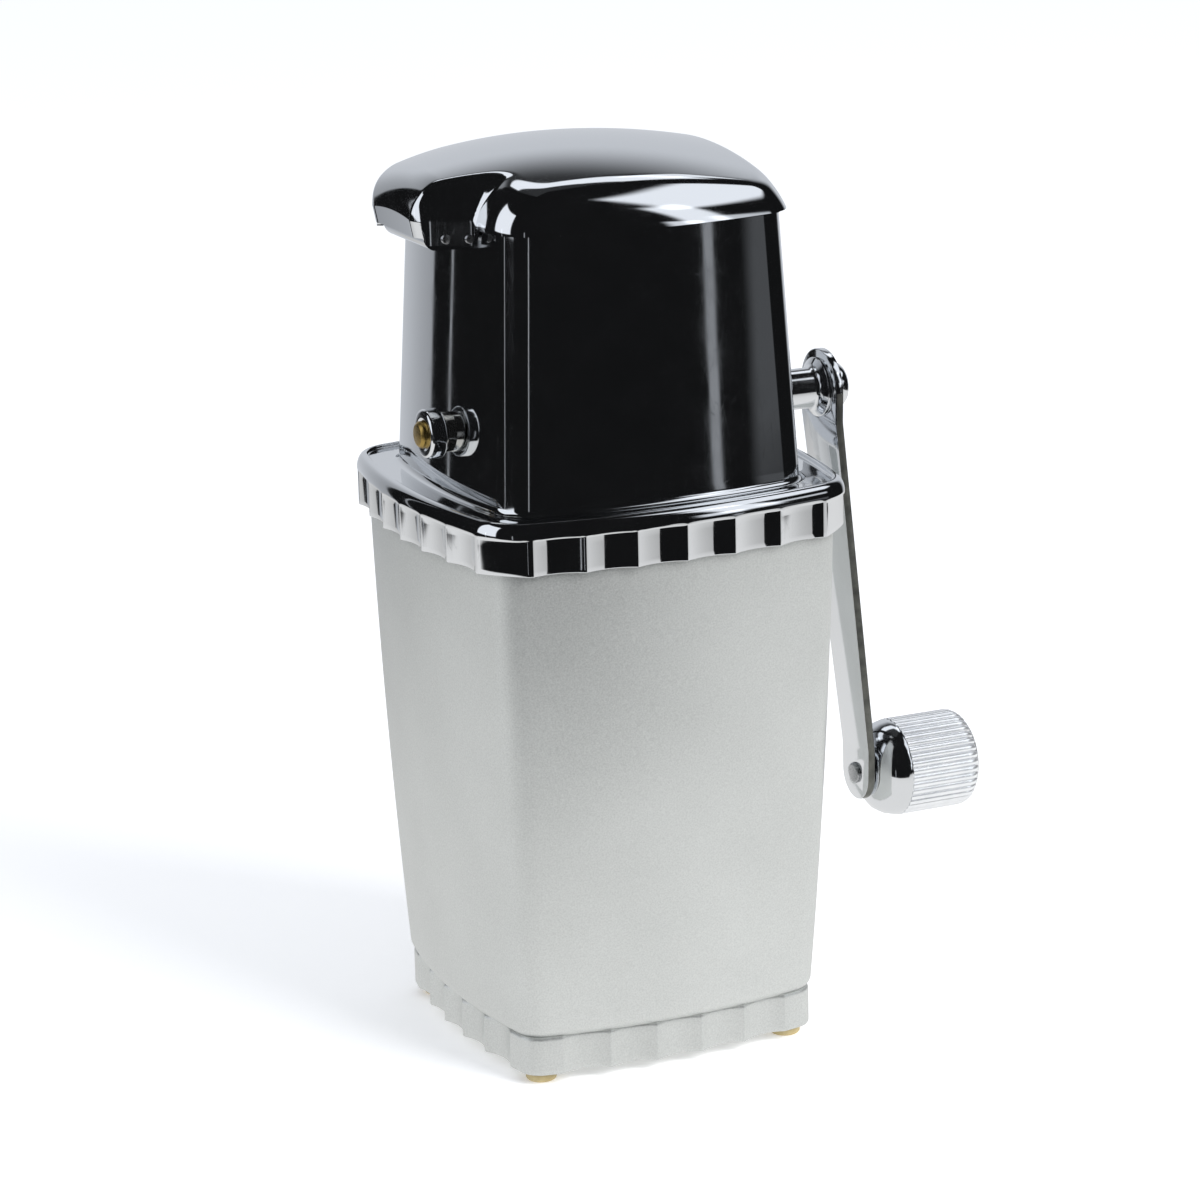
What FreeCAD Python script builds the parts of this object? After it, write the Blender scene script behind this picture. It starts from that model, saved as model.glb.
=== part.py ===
"""Hand crank ice crusher: a fluted tub, a chromed crusher tower that lifts off it,
a hinged lid, a rotor of claw blades between two combs, and a side crank.

Frame: millimetres, +Z up, z = 0 under the rubber feet, the plan centred on x = y = 0.
The rotor axle lies along X, the crank is at +X and the lid hinge at -X.
"""
import FreeCAD, Part
import math
import os
import Sketcher

doc = FreeCAD.newDocument("ice_crusher")

# ---------------------------------------------------------------- driving dimensions
SIZES = [
    ("footRadius", 4.4, "rubber foot"),
    ("footHeight", 3.2, "how far a foot stands below the plinth"),
    ("footRound", 0.9, "rounding of the sole"),
    ("footPlugRadius", 2.4, "stem of the foot, pushed up into the plinth"),
    ("footPlugLength", 4.0, "length of that stem"),
    ("plinthHeight", 11.4, "fluted plinth under the tub"),
    ("plinthHalf", 49.6, "half width over the flute ridges"),
    ("footInset", 11.1, "foot centre from the plinth's ridges, both ways"),
    ("plinthBulge", 190.0, "radius of each slightly bulged side"),
    ("plinthCorner", 7.0, "vertical corner radius"),
    ("plinthFlutes", 5, "hollow flutes on a side"),
    ("plinthFlutePitch", 14.0, "ridge to ridge"),
    ("plinthFluteDepth", 2.0, "ridge to hollow"),
    ("tubHeight", 139.6, "tub above the plinth, to its rim"),
    ("tubStandout", 0.8, "tub wall beyond the plinth, just above it"),
    ("tubMidHalf", 54.7, "half width at mid height"),
    ("tubTopHalf", 57.2, "half width at the rim"),
    ("tubBulge", 190.0, "radius of each bulged side"),
    ("tubCorner", 9.5, "vertical corner radius"),
    ("tubWall", 2.4, "wall of the tub"),
    ("tubFloor", 2.8, "floor thickness above the plinth"),
    ("tubBaseRound", 2.4, "height over which the wall turns in to the plinth"),
    ("tubBaseTurn", 1.6, "how far it turns in"),
    ("skirtOverlap", 3.0, "collar skirt hanging below the tub rim"),
    ("skirtHeight", 10.2, "fluted part of the collar"),
    ("skirtClearance", 0.4, "skirt to tub, all round"),
    ("collarStandout", 3.2, "flute ridges beyond the tub rim"),
    ("collarBulge", 205.0, "radius of each bulged side"),
    ("collarCorner", 7.0, "vertical corner radius"),
    ("collarFlutes", 6, "hollow flutes on a side"),
    ("collarFlutePitch", 14.7, "ridge to ridge"),
    ("collarFluteDepth", 1.7, "ridge to hollow"),
    ("beadHeight", 4.6, "plain bead above the flutes"),
    ("beadRound", 2.6, "rounding of the bead"),
    ("beadWidth", 3.0, "width of the raised bead"),
    ("shelfDrop", 1.2, "shelf below the top of the bead"),
    ("lipDepth", 8.0, "lip reaching down inside the tub"),
    ("lipWall", 1.8, "wall of that lip"),
    ("lipClearance", 0.5, "lip to tub, all round"),
    ("towerHeight", 78.0, "tower above the shelf"),
    ("towerBaseHalf", 49.1, "half width at the shelf"),
    ("towerTopHalf", 44.6, "half width at the mouth"),
    ("towerBulge", 200.0, "radius of each bulged side"),
    ("towerCorner", 12.5, "vertical corner radius"),
    ("towerWall", 2.6, "wall of the tower and the shelf"),
    ("towerFillet", 2.4, "fillet where the tower meets the shelf"),
    ("axleRise", 17.6, "axle above the shelf"),
    ("axleOffset", 8.0, "axle in front of the middle"),
    ("axleFit", 0.05, "radial running clearance"),
    ("seatFit", 0.05, "radial clearance of a part that is fixed in its hole"),
    ("lidOverlap", 1.8, "lid rim below the tower mouth"),
    ("lidMargin", 2.8, "lid rim beyond the tower mouth"),
    ("lidBulge", 155.0, "radius of each bulged side"),
    ("lidCorner", 11.7, "corner radius at the rim"),
    ("lidShoulderRise", 6.0, "first level of the rounded side"),
    ("lidShoulderInset", 1.7, "inset of the side at that level"),
    ("lidBrowRise", 12.0, "second level, where the crown starts"),
    ("lidBrowInset", 7.2, "inset of the side at that level"),
    ("crownRise", 19.8, "top of the crown above the rim"),
    ("crownLength", 175.0, "crown radius along X"),
    ("crownWidth", 110.0, "crown radius along Y"),
    ("crownShift", 8.0, "highest point towards the hinge"),
    ("lidWall", 1.6, "wall of the lid"),
    ("noseStandout", 7.5, "end of the lid's hinge nose beyond the hinge pin"),
    ("noseEndHalf", 17.0, "half width of the nose at its end"),
    ("noseRootHalf", 34.3, "half width of the nose where it starts inside the lid"),
    ("noseCorner", 3.5, "plan corner radius of the nose"),
    ("noseTopCorner", 0.8, "that radius at the height to which the sides are drawn"),
    ("noseRound", 11.5, "rounding where the nose turns over into the crown"),
    ("noseLean", 0.9, "inset of the nose's sides for each millimetre above its skirt"),
    ("noseRise", 19.9, "height above the rim to which those sides are drawn"),
    ("noseRootInset", 16.6, "where the nose starts, inside the tower mouth"),
    ("noseDrop", 4.2, "nose skirt below the lid rim"),
    ("noseBand", 6.5, "height of that straight skirt"),
    ("hingeStandout", 7.4, "hinge pin from the tower wall at the mouth"),
    ("hingeDrop", 2.4, "hinge pin below the lid rim"),
    ("hingePinRadius", 1.3, "hinge pin"),
    ("restPinGap", 0.6, "rest pin to the tower wall at the mouth"),
    ("restPinRadius", 1.2, "rest pin, which sits over the ear when shut"),
    ("pinStandout", 0.5, "pin ends outside the nose"),
    ("earRadius", 4.2, "knuckle of the housing's ear round the hinge pin"),
    ("earSide", 0.6, "ear to the inside of the nose, each side"),
    ("earGap", 0.3, "rest pin above the ear"),
    ("earThickness", 3.0, "web of the ear under the rest pin"),
    ("frameFlange", 2.4, "flange of the hopper frame"),
    ("frameGap", 1.0, "flange to the housing, all round"),
    ("frameWall", 2.0, "walls of the hopper frame"),
    ("throatHalf", 31.0, "half length of the throat, along the axle"),
    ("bladeClearance", 2.0, "blade tips to the front wall of the throat"),
    ("throatBack", 28.0, "back wall of the throat from the middle"),
    ("throatTop", 27.0, "throat top above the axle"),
    ("throatCorner", 4.0, "outer corner radius of the throat"),
    ("funnelGap", 1.2, "funnel mouth to the tower, all round"),
    ("funnelBelow", 5.0, "funnel mouth below the tower mouth"),
    ("screwPost", 3.4, "radius of a screw post"),
    ("screwSpread", 42.5, "screw post from the middle, both ways"),
    ("screwRadius", 1.5, "frame screw shank"),
    ("screwLength", 5.4, "shank inside the post"),
    ("screwHeadRadius", 2.8, "frame screw head"),
    ("screwHeadHeight", 1.8, "frame screw head"),
    ("shaftRadius", 3.8, "turned ends of the rotor shaft"),
    ("shaftChamfer", 0.8, "chamfer of the shaft ends"),
    ("shaftInNut", 2.5, "shaft inside the domed nut"),
    ("shaftFlats", 8.0, "across the flats of its hexagon"),
    ("hexFit", 0.1, "blade and spacer on the hexagon, across flats"),
    ("shaftTail", 1.7, "shaft end standing out of the left cap"),
    ("bladeCount", 5, "rotor blades"),
    ("bladeThickness", 3.0, "rotor blade"),
    ("bladeRadius", 21.0, "tip circle of the blades"),
    ("bladeHub", 8.2, "hub of a blade"),
    ("bladeTeeth", 3, "teeth on a blade"),
    ("toothWaist", 14.0, "radius at which a tooth is narrowest"),
    ("toothLead", 22.0, "root of the hollow edge behind the tooth's middle, in degrees"),
    ("toothHook", 20.0, "how far the tip leans forward, in degrees"),
    ("toothLand", 7.0, "width of the tip, in degrees"),
    ("toothBack", 34.0, "root of the full edge, in degrees"),
    ("toothCurve", 6.0, "rounding of both edges"),
    ("bladeTwist", 24.0, "each blade turned from the one before, in degrees"),
    ("spacerRadius", 6.8, "rotor spacer"),
    ("spacerLength", 7.0, "rotor spacer"),
    ("combTooth", 4.0, "comb tooth, along the axle"),
    ("combPoint", 1.0, "each side of a tooth comes in by this at its tip"),
    ("combWindow", 0.3, "window round a tooth"),
    ("combThickness", 3.0, "height of a comb tooth"),
    ("combGap", 2.4, "tooth tip to the spacers"),
    ("combPlate", 2.0, "plate that carries the teeth"),
    ("combPlateHalf", 29.0, "half length of that plate"),
    ("combPlateRise", 13.0, "plate above the axle"),
    ("combPlateFall", 5.0, "plate below the axle"),
    ("combScrewSpread", 20.0, "comb screw from the middle"),
    ("combScrewRise", 8.5, "comb screw above the axle"),
    ("combScrewRadius", 1.4, "comb screw shank"),
    ("combScrewHead", 2.8, "comb screw head radius"),
    ("combScrewHeadHeight", 1.6, "comb screw head"),
    ("bushRadius", 5.6, "bush body in the tower wall"),
    ("bushFlange", 7.2, "flange of a bush"),
    ("bushFlangeThickness", 1.6, "flange of a bush, inside the wall"),
    ("bushFlangeGap", 0.9, "flange clear of the sloping wall"),
    ("bushStandout", 2.8, "bush outside the wall"),
    ("bushRound", 0.7, "rounding of its outer edge"),
    ("capRadius", 7.0, "round nut on the left end of the shaft"),
    ("capLength", 4.6, "round nut"),
    ("capRound", 1.0, "rounding of the nut's outer edge"),
    ("endGap", 0.3, "axial play on each side"),
    ("hubRadius", 5.9, "sleeve behind the crank arm"),
    ("hubFlare", 8.6, "flange of the sleeve against the arm"),
    ("hubFlareLength", 2.6, "flange of the sleeve"),
    ("hubFlareEdge", 1.0, "straight edge of that flange"),
    ("hubFlareRound", 2.1, "hollow curve from the sleeve to the flange"),
    ("armReach", 66.9, "inner face of the crank arm from the middle"),
    ("armThickness", 2.5, "crank arm"),
    ("armLength", 118.3, "axle to knob"),
    ("armTopRadius", 11.0, "round end at the axle"),
    ("armEndRadius", 8.0, "round end at the knob"),
    ("armBendTop", 9.0, "first bend below the axle"),
    ("armBendEnd", 8.0, "second bend above the knob"),
    ("armOffset", 11.2, "how far the bends step the arm outwards"),
    ("armBendRadius", 12.0, "inside radius of the bends"),
    ("capNutRadius", 6.9, "domed nut"),
    ("capNutHeight", 4.2, "domed nut"),
    ("capNutRound", 3.1, "rounding of the dome"),
    ("washerRadius", 8.0, "washer under the domed nut"),
    ("washerThickness", 0.8, "washer"),
    ("knobRadius", 14.5, "knob over its ribs"),
    ("knobLength", 32.6, "knob"),
    ("knobNose", 9.3, "smooth domed nose of the knob"),
    ("knobNeck", 5.4, "radius of the knob where it meets the arm"),
    ("knobBrow", 13.3, "radius at the shoulder of the nose"),
    ("knobShoulder", 4.6, "that shoulder from the arm"),
    ("knobRibs", 40, "grooves round the knob"),
    ("knobRibDepth", 0.45, "depth of a groove"),
    ("knobRibCut", 0.8, "radius of the cut that makes a groove"),
    ("knobEndRound", 2.6, "rounding of the outer end"),
    ("spindleRadius", 2.8, "spindle that the knob turns on"),
    ("spindleHead", 5.0, "head of the spindle"),
    ("spindleHeadLength", 2.5, "head of the spindle"),
    ("spindleRound", 0.5, "rounding of the head and of the riveted end"),
    ("spindleTail", 0.9, "riveted end on the inner face of the arm"),
    ("spindleTailRadius", 3.0, "riveted end"),
    ("knobPlugRadius", 7.0, "plug in the outer end of the knob"),
    ("knobPlugLength", 2.2, "plug in the outer end of the knob"),
]

sizes = doc.addObject("Spreadsheet::Sheet", "Sizes")
for row, (alias, amount, note) in enumerate(SIZES, start=1):
    sizes.set(f"A{row}", alias)
    sizes.set(f"B{row}", str(amount))
    sizes.set(f"C{row}", note)
    sizes.setAlias(f"B{row}", alias)
doc.recompute()

# ---------------------------------------------------------------- levels and places
PLINTH_TOP = "(Sizes.footHeight + Sizes.plinthHeight)"
RIM = f"({PLINTH_TOP} + Sizes.tubHeight)"
SKIRT = f"({RIM} - Sizes.skirtOverlap)"
FLUTE_TOP = f"({SKIRT} + Sizes.skirtHeight)"
BEAD = f"({FLUTE_TOP} + Sizes.beadHeight)"
SHELF = f"({BEAD} - Sizes.shelfDrop)"
SHELF_UNDER = f"({SHELF} - Sizes.towerWall)"
MOUTH = f"({SHELF} + Sizes.towerHeight)"
AXLE = f"({SHELF} + Sizes.axleRise)"
AXLE_Y = "(-Sizes.axleOffset)"
LID_RIM = f"({MOUTH} - Sizes.lidOverlap)"
HINGE = f"({LID_RIM} - Sizes.hingeDrop)"
# the tower wall at the height and depth of the axle, outside
TOWER_SIDE = ("(Sizes.towerBaseHalf - (Sizes.towerBaseHalf - Sizes.towerTopHalf) * Sizes.axleRise"
              " / Sizes.towerHeight - pow(Sizes.axleOffset; 2) / (2 * Sizes.towerBulge))")
TUB_BASE = "(Sizes.plinthHalf + Sizes.tubStandout)"
FOOT_SPREAD = "(Sizes.plinthHalf - Sizes.footInset)"
COLLAR_HALF = "(Sizes.tubTopHalf + Sizes.collarStandout)"
LID_HALF = "(Sizes.towerTopHalf + Sizes.lidMargin)"
HINGE_X = "(Sizes.towerTopHalf + Sizes.hingeStandout)"
REST_X = "(Sizes.towerTopHalf + Sizes.restPinGap + Sizes.restPinRadius)"
NOSE_END = f"({HINGE_X} + Sizes.noseStandout)"
NOSE_ROOT = "(Sizes.towerTopHalf - Sizes.noseRootInset)"
EAR_HALF = "(Sizes.noseEndHalf - Sizes.lidWall - Sizes.earSide)"
# front wall of the throat from the middle, clear of the blade tips
THROAT_FRONT = "(Sizes.axleOffset + Sizes.bladeRadius + Sizes.bladeClearance + Sizes.frameWall)"
# half of the width inside the lip that hangs in the tub
LIP_OUTER = "(Sizes.tubTopHalf - Sizes.tubWall - Sizes.lipClearance)"
LIP_INNER = f"({LIP_OUTER} - Sizes.lipWall)"
LIP_INSET = "(Sizes.tubWall + Sizes.lipClearance + Sizes.lipWall)"
FLANGE_TOP = f"({RIM} + 0.5 * Sizes.lipClearance + Sizes.frameFlange)"
FLANGE_UNDER = f"({FLANGE_TOP} - Sizes.frameFlange)"
ARM_OUT = "(Sizes.armReach + Sizes.armThickness)"
KNOB_ARM = f"({ARM_OUT} + Sizes.armOffset)"
KNOB_Z = f"({AXLE} - Sizes.armLength)"
BUSH_OUT = f"({TOWER_SIDE} + Sizes.bushStandout)"


def number(expression):
    """The present value of an expression over the sheet."""
    return float(sizes.evalExpression(expression))


# ---------------------------------------------------------------- sketch helpers
def new_body(label):
    body = doc.addObject("PartDesign::Body", label)
    body.Label = label
    return body


def sketch_on(body, name, role, offset="0", raised="0", aside="0"):
    """A sketch on one of the body's own planes, moved along its normal, upwards and sideways."""
    sketch = body.newObject("Sketcher::SketchObject", name)
    plane = next(item for item in body.Origin.OriginFeatures if item.Role == role)
    sketch.AttachmentSupport = [(plane, "")]
    sketch.MapMode = "FlatFace"
    sketch.setExpression("AttachmentOffset.Base.z", offset)
    sketch.setExpression("AttachmentOffset.Base.y", raised)
    sketch.setExpression("AttachmentOffset.Base.x", aside)
    return sketch


def bind(sketch, kind, places, expression):
    """Add a dimension and bind it to the sheet."""
    index = sketch.addConstraint(Sketcher.Constraint(kind, *places, number(expression)))
    sketch.setExpression(f"Constraints[{index}]", expression)


def pin_point(sketch, geometry, point, x, y):
    """Dimension one point from the sketch origin, both ways."""
    bind(sketch, "DistanceX", (-1, 1, geometry, point), x)
    bind(sketch, "DistanceY", (-1, 1, geometry, point), y)


def polygon(sketch, points):
    """A closed outline of straight edges; every corner is dimensioned."""
    corners = [FreeCAD.Vector(number(x), number(y), 0) for x, y in points]
    first = sketch.GeometryCount
    count = len(corners)
    for i in range(count):
        sketch.addGeometry(Part.LineSegment(corners[i], corners[(i + 1) % count]))
    for i in range(count):
        following = first + (i + 1) % count
        sketch.addConstraint(Sketcher.Constraint("Coincident", first + i, 2, following, 1))
    for i, (x, y) in enumerate(points):
        pin_point(sketch, first + i, 1, x, y)


def rounded_outline(sketch, corners):
    """A closed outline of straight edges; a corner (x, y, radius) is sharp where its radius is empty."""
    points = [FreeCAD.Vector(number(x), number(y), 0) for x, y, radius in corners]
    count = len(points)
    turns = {}
    ends = [(point, point) for point in points]
    for i, (x, y, radius) in enumerate(corners):
        if not radius:
            continue
        back = (points[i - 1] - points[i]).normalize()
        onward = (points[(i + 1) % count] - points[i]).normalize()
        half_angle = back.getAngle(onward) / 2
        reach = number(radius) / math.tan(half_angle)
        centre = points[i] + (back + onward).normalize() * (number(radius) / math.sin(half_angle))
        ends[i] = (points[i] + back * reach, points[i] + onward * reach)
        left_turn = back.cross(onward).z < 0
        turns[i] = (centre, left_turn)
    first = sketch.GeometryCount
    for i in range(count):
        sketch.addGeometry(Part.LineSegment(ends[i][1], ends[(i + 1) % count][0]))
    for i, (x, y, radius) in enumerate(corners):
        before = first + (i - 1) % count
        after = first + i
        if i not in turns:
            sketch.addConstraint(Sketcher.Constraint("Coincident", before, 2, after, 1))
            pin_point(sketch, after, 1, x, y)
            continue
        centre, left_turn = turns[i]
        start, end = ends[i] if left_turn else ends[i][::-1]
        angles = [math.atan2(point.y - centre.y, point.x - centre.x) for point in (start, end)]
        round_edge = Part.Circle(centre, FreeCAD.Vector(0, 0, 1), number(radius))
        arc = sketch.addGeometry(Part.ArcOfCircle(round_edge, angles[0], angles[1]))
        near, far = (1, 2) if left_turn else (2, 1)
        sketch.addConstraint(Sketcher.Constraint("Tangent", before, 2, arc, near))
        sketch.addConstraint(Sketcher.Constraint("Tangent", arc, far, after, 1))
        bind(sketch, "Radius", (arc,), radius)
        sharp = sketch.addGeometry(Part.Point(points[i]), True)
        sketch.addConstraint(Sketcher.Constraint("PointOnObject", sharp, 1, before))
        sketch.addConstraint(Sketcher.Constraint("PointOnObject", sharp, 1, after))
        pin_point(sketch, sharp, 1, x, y)


def circle(sketch, x, y, radius):
    centre = FreeCAD.Vector(number(x), number(y), 0)
    index = sketch.addGeometry(Part.Circle(centre, FreeCAD.Vector(0, 0, 1), number(radius)))
    pin_point(sketch, index, 3, x, y)
    bind(sketch, "Radius", (index,), radius)


def hexagon(sketch, x, y, flats):
    """A regular hexagon with two flats parallel to the sketch's x axis."""
    reach = f"({flats} / sqrt(3))"
    points = []
    for step in range(6):
        turn = 60 * step
        points.append((f"{x} + {reach} * cos({turn} * 1 deg)", f"{y} + {reach} * sin({turn} * 1 deg)"))
    polygon(sketch, points)


def rounded_square(sketch, half, bulge, corner):
    """Four bulged sides and four corners, all arcs and tangent, centred on the origin."""
    side_radius = number(bulge)
    corner_radius = number(corner)
    centre_offset = side_radius - number(half)
    reach = side_radius - corner_radius
    corner_at = (math.sqrt(2 * reach ** 2 - centre_offset ** 2) - centre_offset) / 2
    spread = math.asin(corner_at / reach)
    first = sketch.GeometryCount
    for quarter in range(4):
        side_angle = math.radians(90 * quarter - 90)
        side_centre = FreeCAD.Vector(-centre_offset * math.cos(side_angle),
                                     -centre_offset * math.sin(side_angle), 0)
        side = Part.Circle(side_centre, FreeCAD.Vector(0, 0, 1), side_radius)
        sketch.addGeometry(Part.ArcOfCircle(side, side_angle - spread, side_angle + spread))
        corner_angle = side_angle + math.pi / 4
        corner_centre = FreeCAD.Vector(math.sqrt(2) * corner_at * math.cos(corner_angle),
                                       math.sqrt(2) * corner_at * math.sin(corner_angle), 0)
        turn = Part.Circle(corner_centre, FreeCAD.Vector(0, 0, 1), corner_radius)
        sketch.addGeometry(Part.ArcOfCircle(turn, side_angle + spread,
                                            side_angle + math.pi / 2 - spread))
    for i in range(8):
        following = first + (i + 1) % 8
        sketch.addConstraint(Sketcher.Constraint("Tangent", first + i, 2, following, 1))
    for quarter in range(1, 4):
        sketch.addConstraint(Sketcher.Constraint("Equal", first, first + 2 * quarter))
        sketch.addConstraint(Sketcher.Constraint("Equal", first + 1, first + 2 * quarter + 1))
    bind(sketch, "Radius", (first,), bulge)
    bind(sketch, "Radius", (first + 1,), corner)
    inward = f"(({bulge}) - ({half}))"
    places = [("0", inward), (f"-{inward}", "0"), ("0", f"-{inward}"), (inward, "0")]
    for quarter, (x, y) in enumerate(places):
        pin_point(sketch, first + 2 * quarter, 3, x, y)


def square_sketch(body, name, level, half, bulge, corner):
    sketch = sketch_on(body, name, "XY_Plane", level)
    rounded_square(sketch, half, bulge, corner)
    return sketch


# ---------------------------------------------------------------- feature helpers
def pad(body, sketch, length, name, symmetric=False, backwards=False):
    feature = body.newObject("PartDesign::Pad", name)
    feature.Profile = sketch
    feature.setExpression("Length", length)
    if symmetric:
        feature.SideType = "Symmetric"
    feature.Reversed = backwards
    doc.recompute()
    return feature


def pocket(body, sketch, length, name, symmetric=False, backwards=False):
    """Cut a sketch out of the body and make sure that it cut something."""
    before = body.Shape.Volume
    feature = body.newObject("PartDesign::Pocket", name)
    feature.Profile = sketch
    feature.setExpression("Length", length)
    if symmetric:
        feature.SideType = "Symmetric"
    feature.Reversed = backwards
    doc.recompute()
    if body.Shape.Volume >= before - 1e-6:
        raise RuntimeError(f"{body.Label}: {name} cut nothing")
    return feature


def loft(body, sketches, name, cut=False):
    kind = "PartDesign::SubtractiveLoft" if cut else "PartDesign::AdditiveLoft"
    feature = body.newObject(kind, name)
    feature.Profile = sketches[0]
    feature.Sections = sketches[1:]
    doc.recompute()
    return feature


def revolve(body, sketch, axis, name, cut=False):
    kind = "PartDesign::Groove" if cut else "PartDesign::Revolution"
    feature = body.newObject(kind, name)
    feature.Profile = sketch
    feature.ReferenceAxis = (sketch, [axis])
    feature.Angle = 360
    doc.recompute()
    return feature


def edges_where(feature, wanted):
    """Names of the edges of a feature whose bounding box passes a test."""
    names = []
    for index, edge in enumerate(feature.Shape.Edges, start=1):
        if wanted(edge.BoundBox):
            names.append(f"Edge{index}")
    return names


def flat_edges_at(feature, level, inside=None, outside=None):
    """Level edges at a height, within or beyond a distance from the middle."""
    def wanted(box):
        reach = max(abs(box.XMin), abs(box.XMax), abs(box.YMin), abs(box.YMax))
        at_level = abs(box.ZMin - level) < 0.01 and abs(box.ZMax - level) < 0.01
        return at_level and (inside is None or reach < inside) and (outside is None or reach > outside)
    return edges_where(feature, wanted)


def fillet(body, feature, edges, radius, name):
    rounded = body.newObject("PartDesign::Fillet", name)
    rounded.Base = (feature, edges)
    rounded.setExpression("Radius", radius)
    doc.recompute()
    return rounded


def cut_flutes(body, prefix, half, bulge, bottom, height):
    """Hollow flutes down all four sides: one round cut, patterned along a side, then round the body."""
    count = f"Sizes.{prefix}Flutes"
    step = f"(Sizes.{prefix}FlutePitch / {bulge} * 180 / pi)"
    chord = f"({bulge} * sin({step} / 2 * 1 deg))"
    depth = f"Sizes.{prefix}FluteDepth"
    cutter = f"(pow({chord}; 2) / (2 * {depth}) + {depth} / 2)"
    middle = f"({bulge} * cos({step} / 2 * 1 deg) + {cutter} - {depth})"
    start = f"({step} * ({count} - 1) / 2)"
    sketch = sketch_on(body, f"{prefix}_flute_sketch", "XY_Plane", bottom, f"{bulge} - {half}")
    circle(sketch, f"-{middle} * sin({start} * 1 deg)", f"-{middle} * cos({start} * 1 deg)", cutter)
    flute = pocket(body, sketch, height, f"{prefix}_flute", backwards=True)
    along = body.newObject("PartDesign::PolarPattern", f"{prefix}_flutes_along")
    along.Axis = (sketch, ["N_Axis"])
    along.setExpression("Angle", f"{step} * ({count} - 1)")
    along.setExpression("Occurrences", count)
    around = body.newObject("PartDesign::PolarPattern", f"{prefix}_flutes_around")
    upright = next(item for item in body.Origin.OriginFeatures if item.Role == "Z_Axis")
    around.Axis = (upright, [""])
    around.Angle = 360
    around.Occurrences = 4
    every = body.newObject("PartDesign::MultiTransform", f"{prefix}_flutes")
    every.Originals = [flute]
    every.Transformations = [along, around]
    body.Tip = every
    doc.recompute()
    return every


def corner_places(spread):
    """Name and centre of each of four places at the corners."""
    return [("front_left", f"-{spread}", f"-{spread}"), ("front_right", spread, f"-{spread}"),
            ("back_right", spread, spread), ("back_left", f"-{spread}", spread)]


# ---------------------------------------------------------------- tub
def make_ice_tub():
    """Silver tub, lofted through three levels, with its fluted plinth in one moulding."""
    body = new_body("ice_tub")
    half_up = f"({PLINTH_TOP} + {RIM}) / 2"
    bulge = "Sizes.tubBulge"
    corner = "Sizes.tubCorner"
    turn_in = [
        (PLINTH_TOP, f"{TUB_BASE} - Sizes.tubBaseTurn"),
        (f"{PLINTH_TOP} + 0.3 * Sizes.tubBaseRound", f"{TUB_BASE} - 0.4 * Sizes.tubBaseTurn"),
        (f"{PLINTH_TOP} + Sizes.tubBaseRound", TUB_BASE),
    ]
    rise = [
        (f"{PLINTH_TOP} + Sizes.tubBaseRound", TUB_BASE),
        (half_up, "Sizes.tubMidHalf"),
        (RIM, "Sizes.tubTopHalf"),
    ]
    hollow = [
        (PLINTH_TOP, f"{TUB_BASE} - Sizes.tubWall - Sizes.tubBaseTurn"),
        (half_up, "Sizes.tubMidHalf - Sizes.tubWall"),
        (RIM, "Sizes.tubTopHalf - Sizes.tubWall"),
    ]
    for name, levels in (("base_turn", turn_in), ("tub_wall", rise)):
        sketches = [square_sketch(body, f"{name}_{i}", level, half, bulge, corner)
                    for i, (level, half) in enumerate(levels)]
        loft(body, sketches, name)
    plinth = square_sketch(body, "plinth_sketch", "Sizes.footHeight", "Sizes.plinthHalf",
                           "Sizes.plinthBulge", "Sizes.plinthCorner")
    pad(body, plinth, "Sizes.plinthHeight", "plinth")
    relief = square_sketch(body, "underside_sketch", "Sizes.footHeight",
                           "Sizes.plinthHalf - Sizes.plinthFluteDepth - Sizes.tubWall",
                           "Sizes.plinthBulge", "Sizes.plinthCorner")
    pocket(body, relief, "Sizes.plinthHeight - Sizes.tubFloor", "underside", backwards=True)
    for name, x, y in corner_places(FOOT_SPREAD):
        boss = sketch_on(body, f"foot_boss_sketch_{name}", "XY_Plane", "Sizes.footHeight")
        circle(boss, x, y, "Sizes.footRadius + Sizes.tubWall")
        pad(body, boss, "Sizes.plinthHeight - 0.5 * Sizes.tubFloor", f"foot_boss_{name}")
    inside = [square_sketch(body, f"hollow_{i}", level, half, f"{bulge} - Sizes.tubWall",
                            f"{corner} - Sizes.tubWall")
              for i, (level, half) in enumerate(hollow)]
    loft(body, inside, "hollow", cut=True)
    for name, x, y in corner_places(FOOT_SPREAD):
        hole = sketch_on(body, f"foot_hole_{name}", "XY_Plane", "Sizes.footHeight")
        circle(hole, x, y, "Sizes.footPlugRadius + Sizes.seatFit")
        pocket(body, hole, "Sizes.footPlugLength + Sizes.seatFit", f"foot_socket_{name}", backwards=True)
    cut_flutes(body, "plinth", "Sizes.plinthHalf", "Sizes.plinthBulge",
               "Sizes.footHeight", "Sizes.plinthHeight")
    return body


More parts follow.
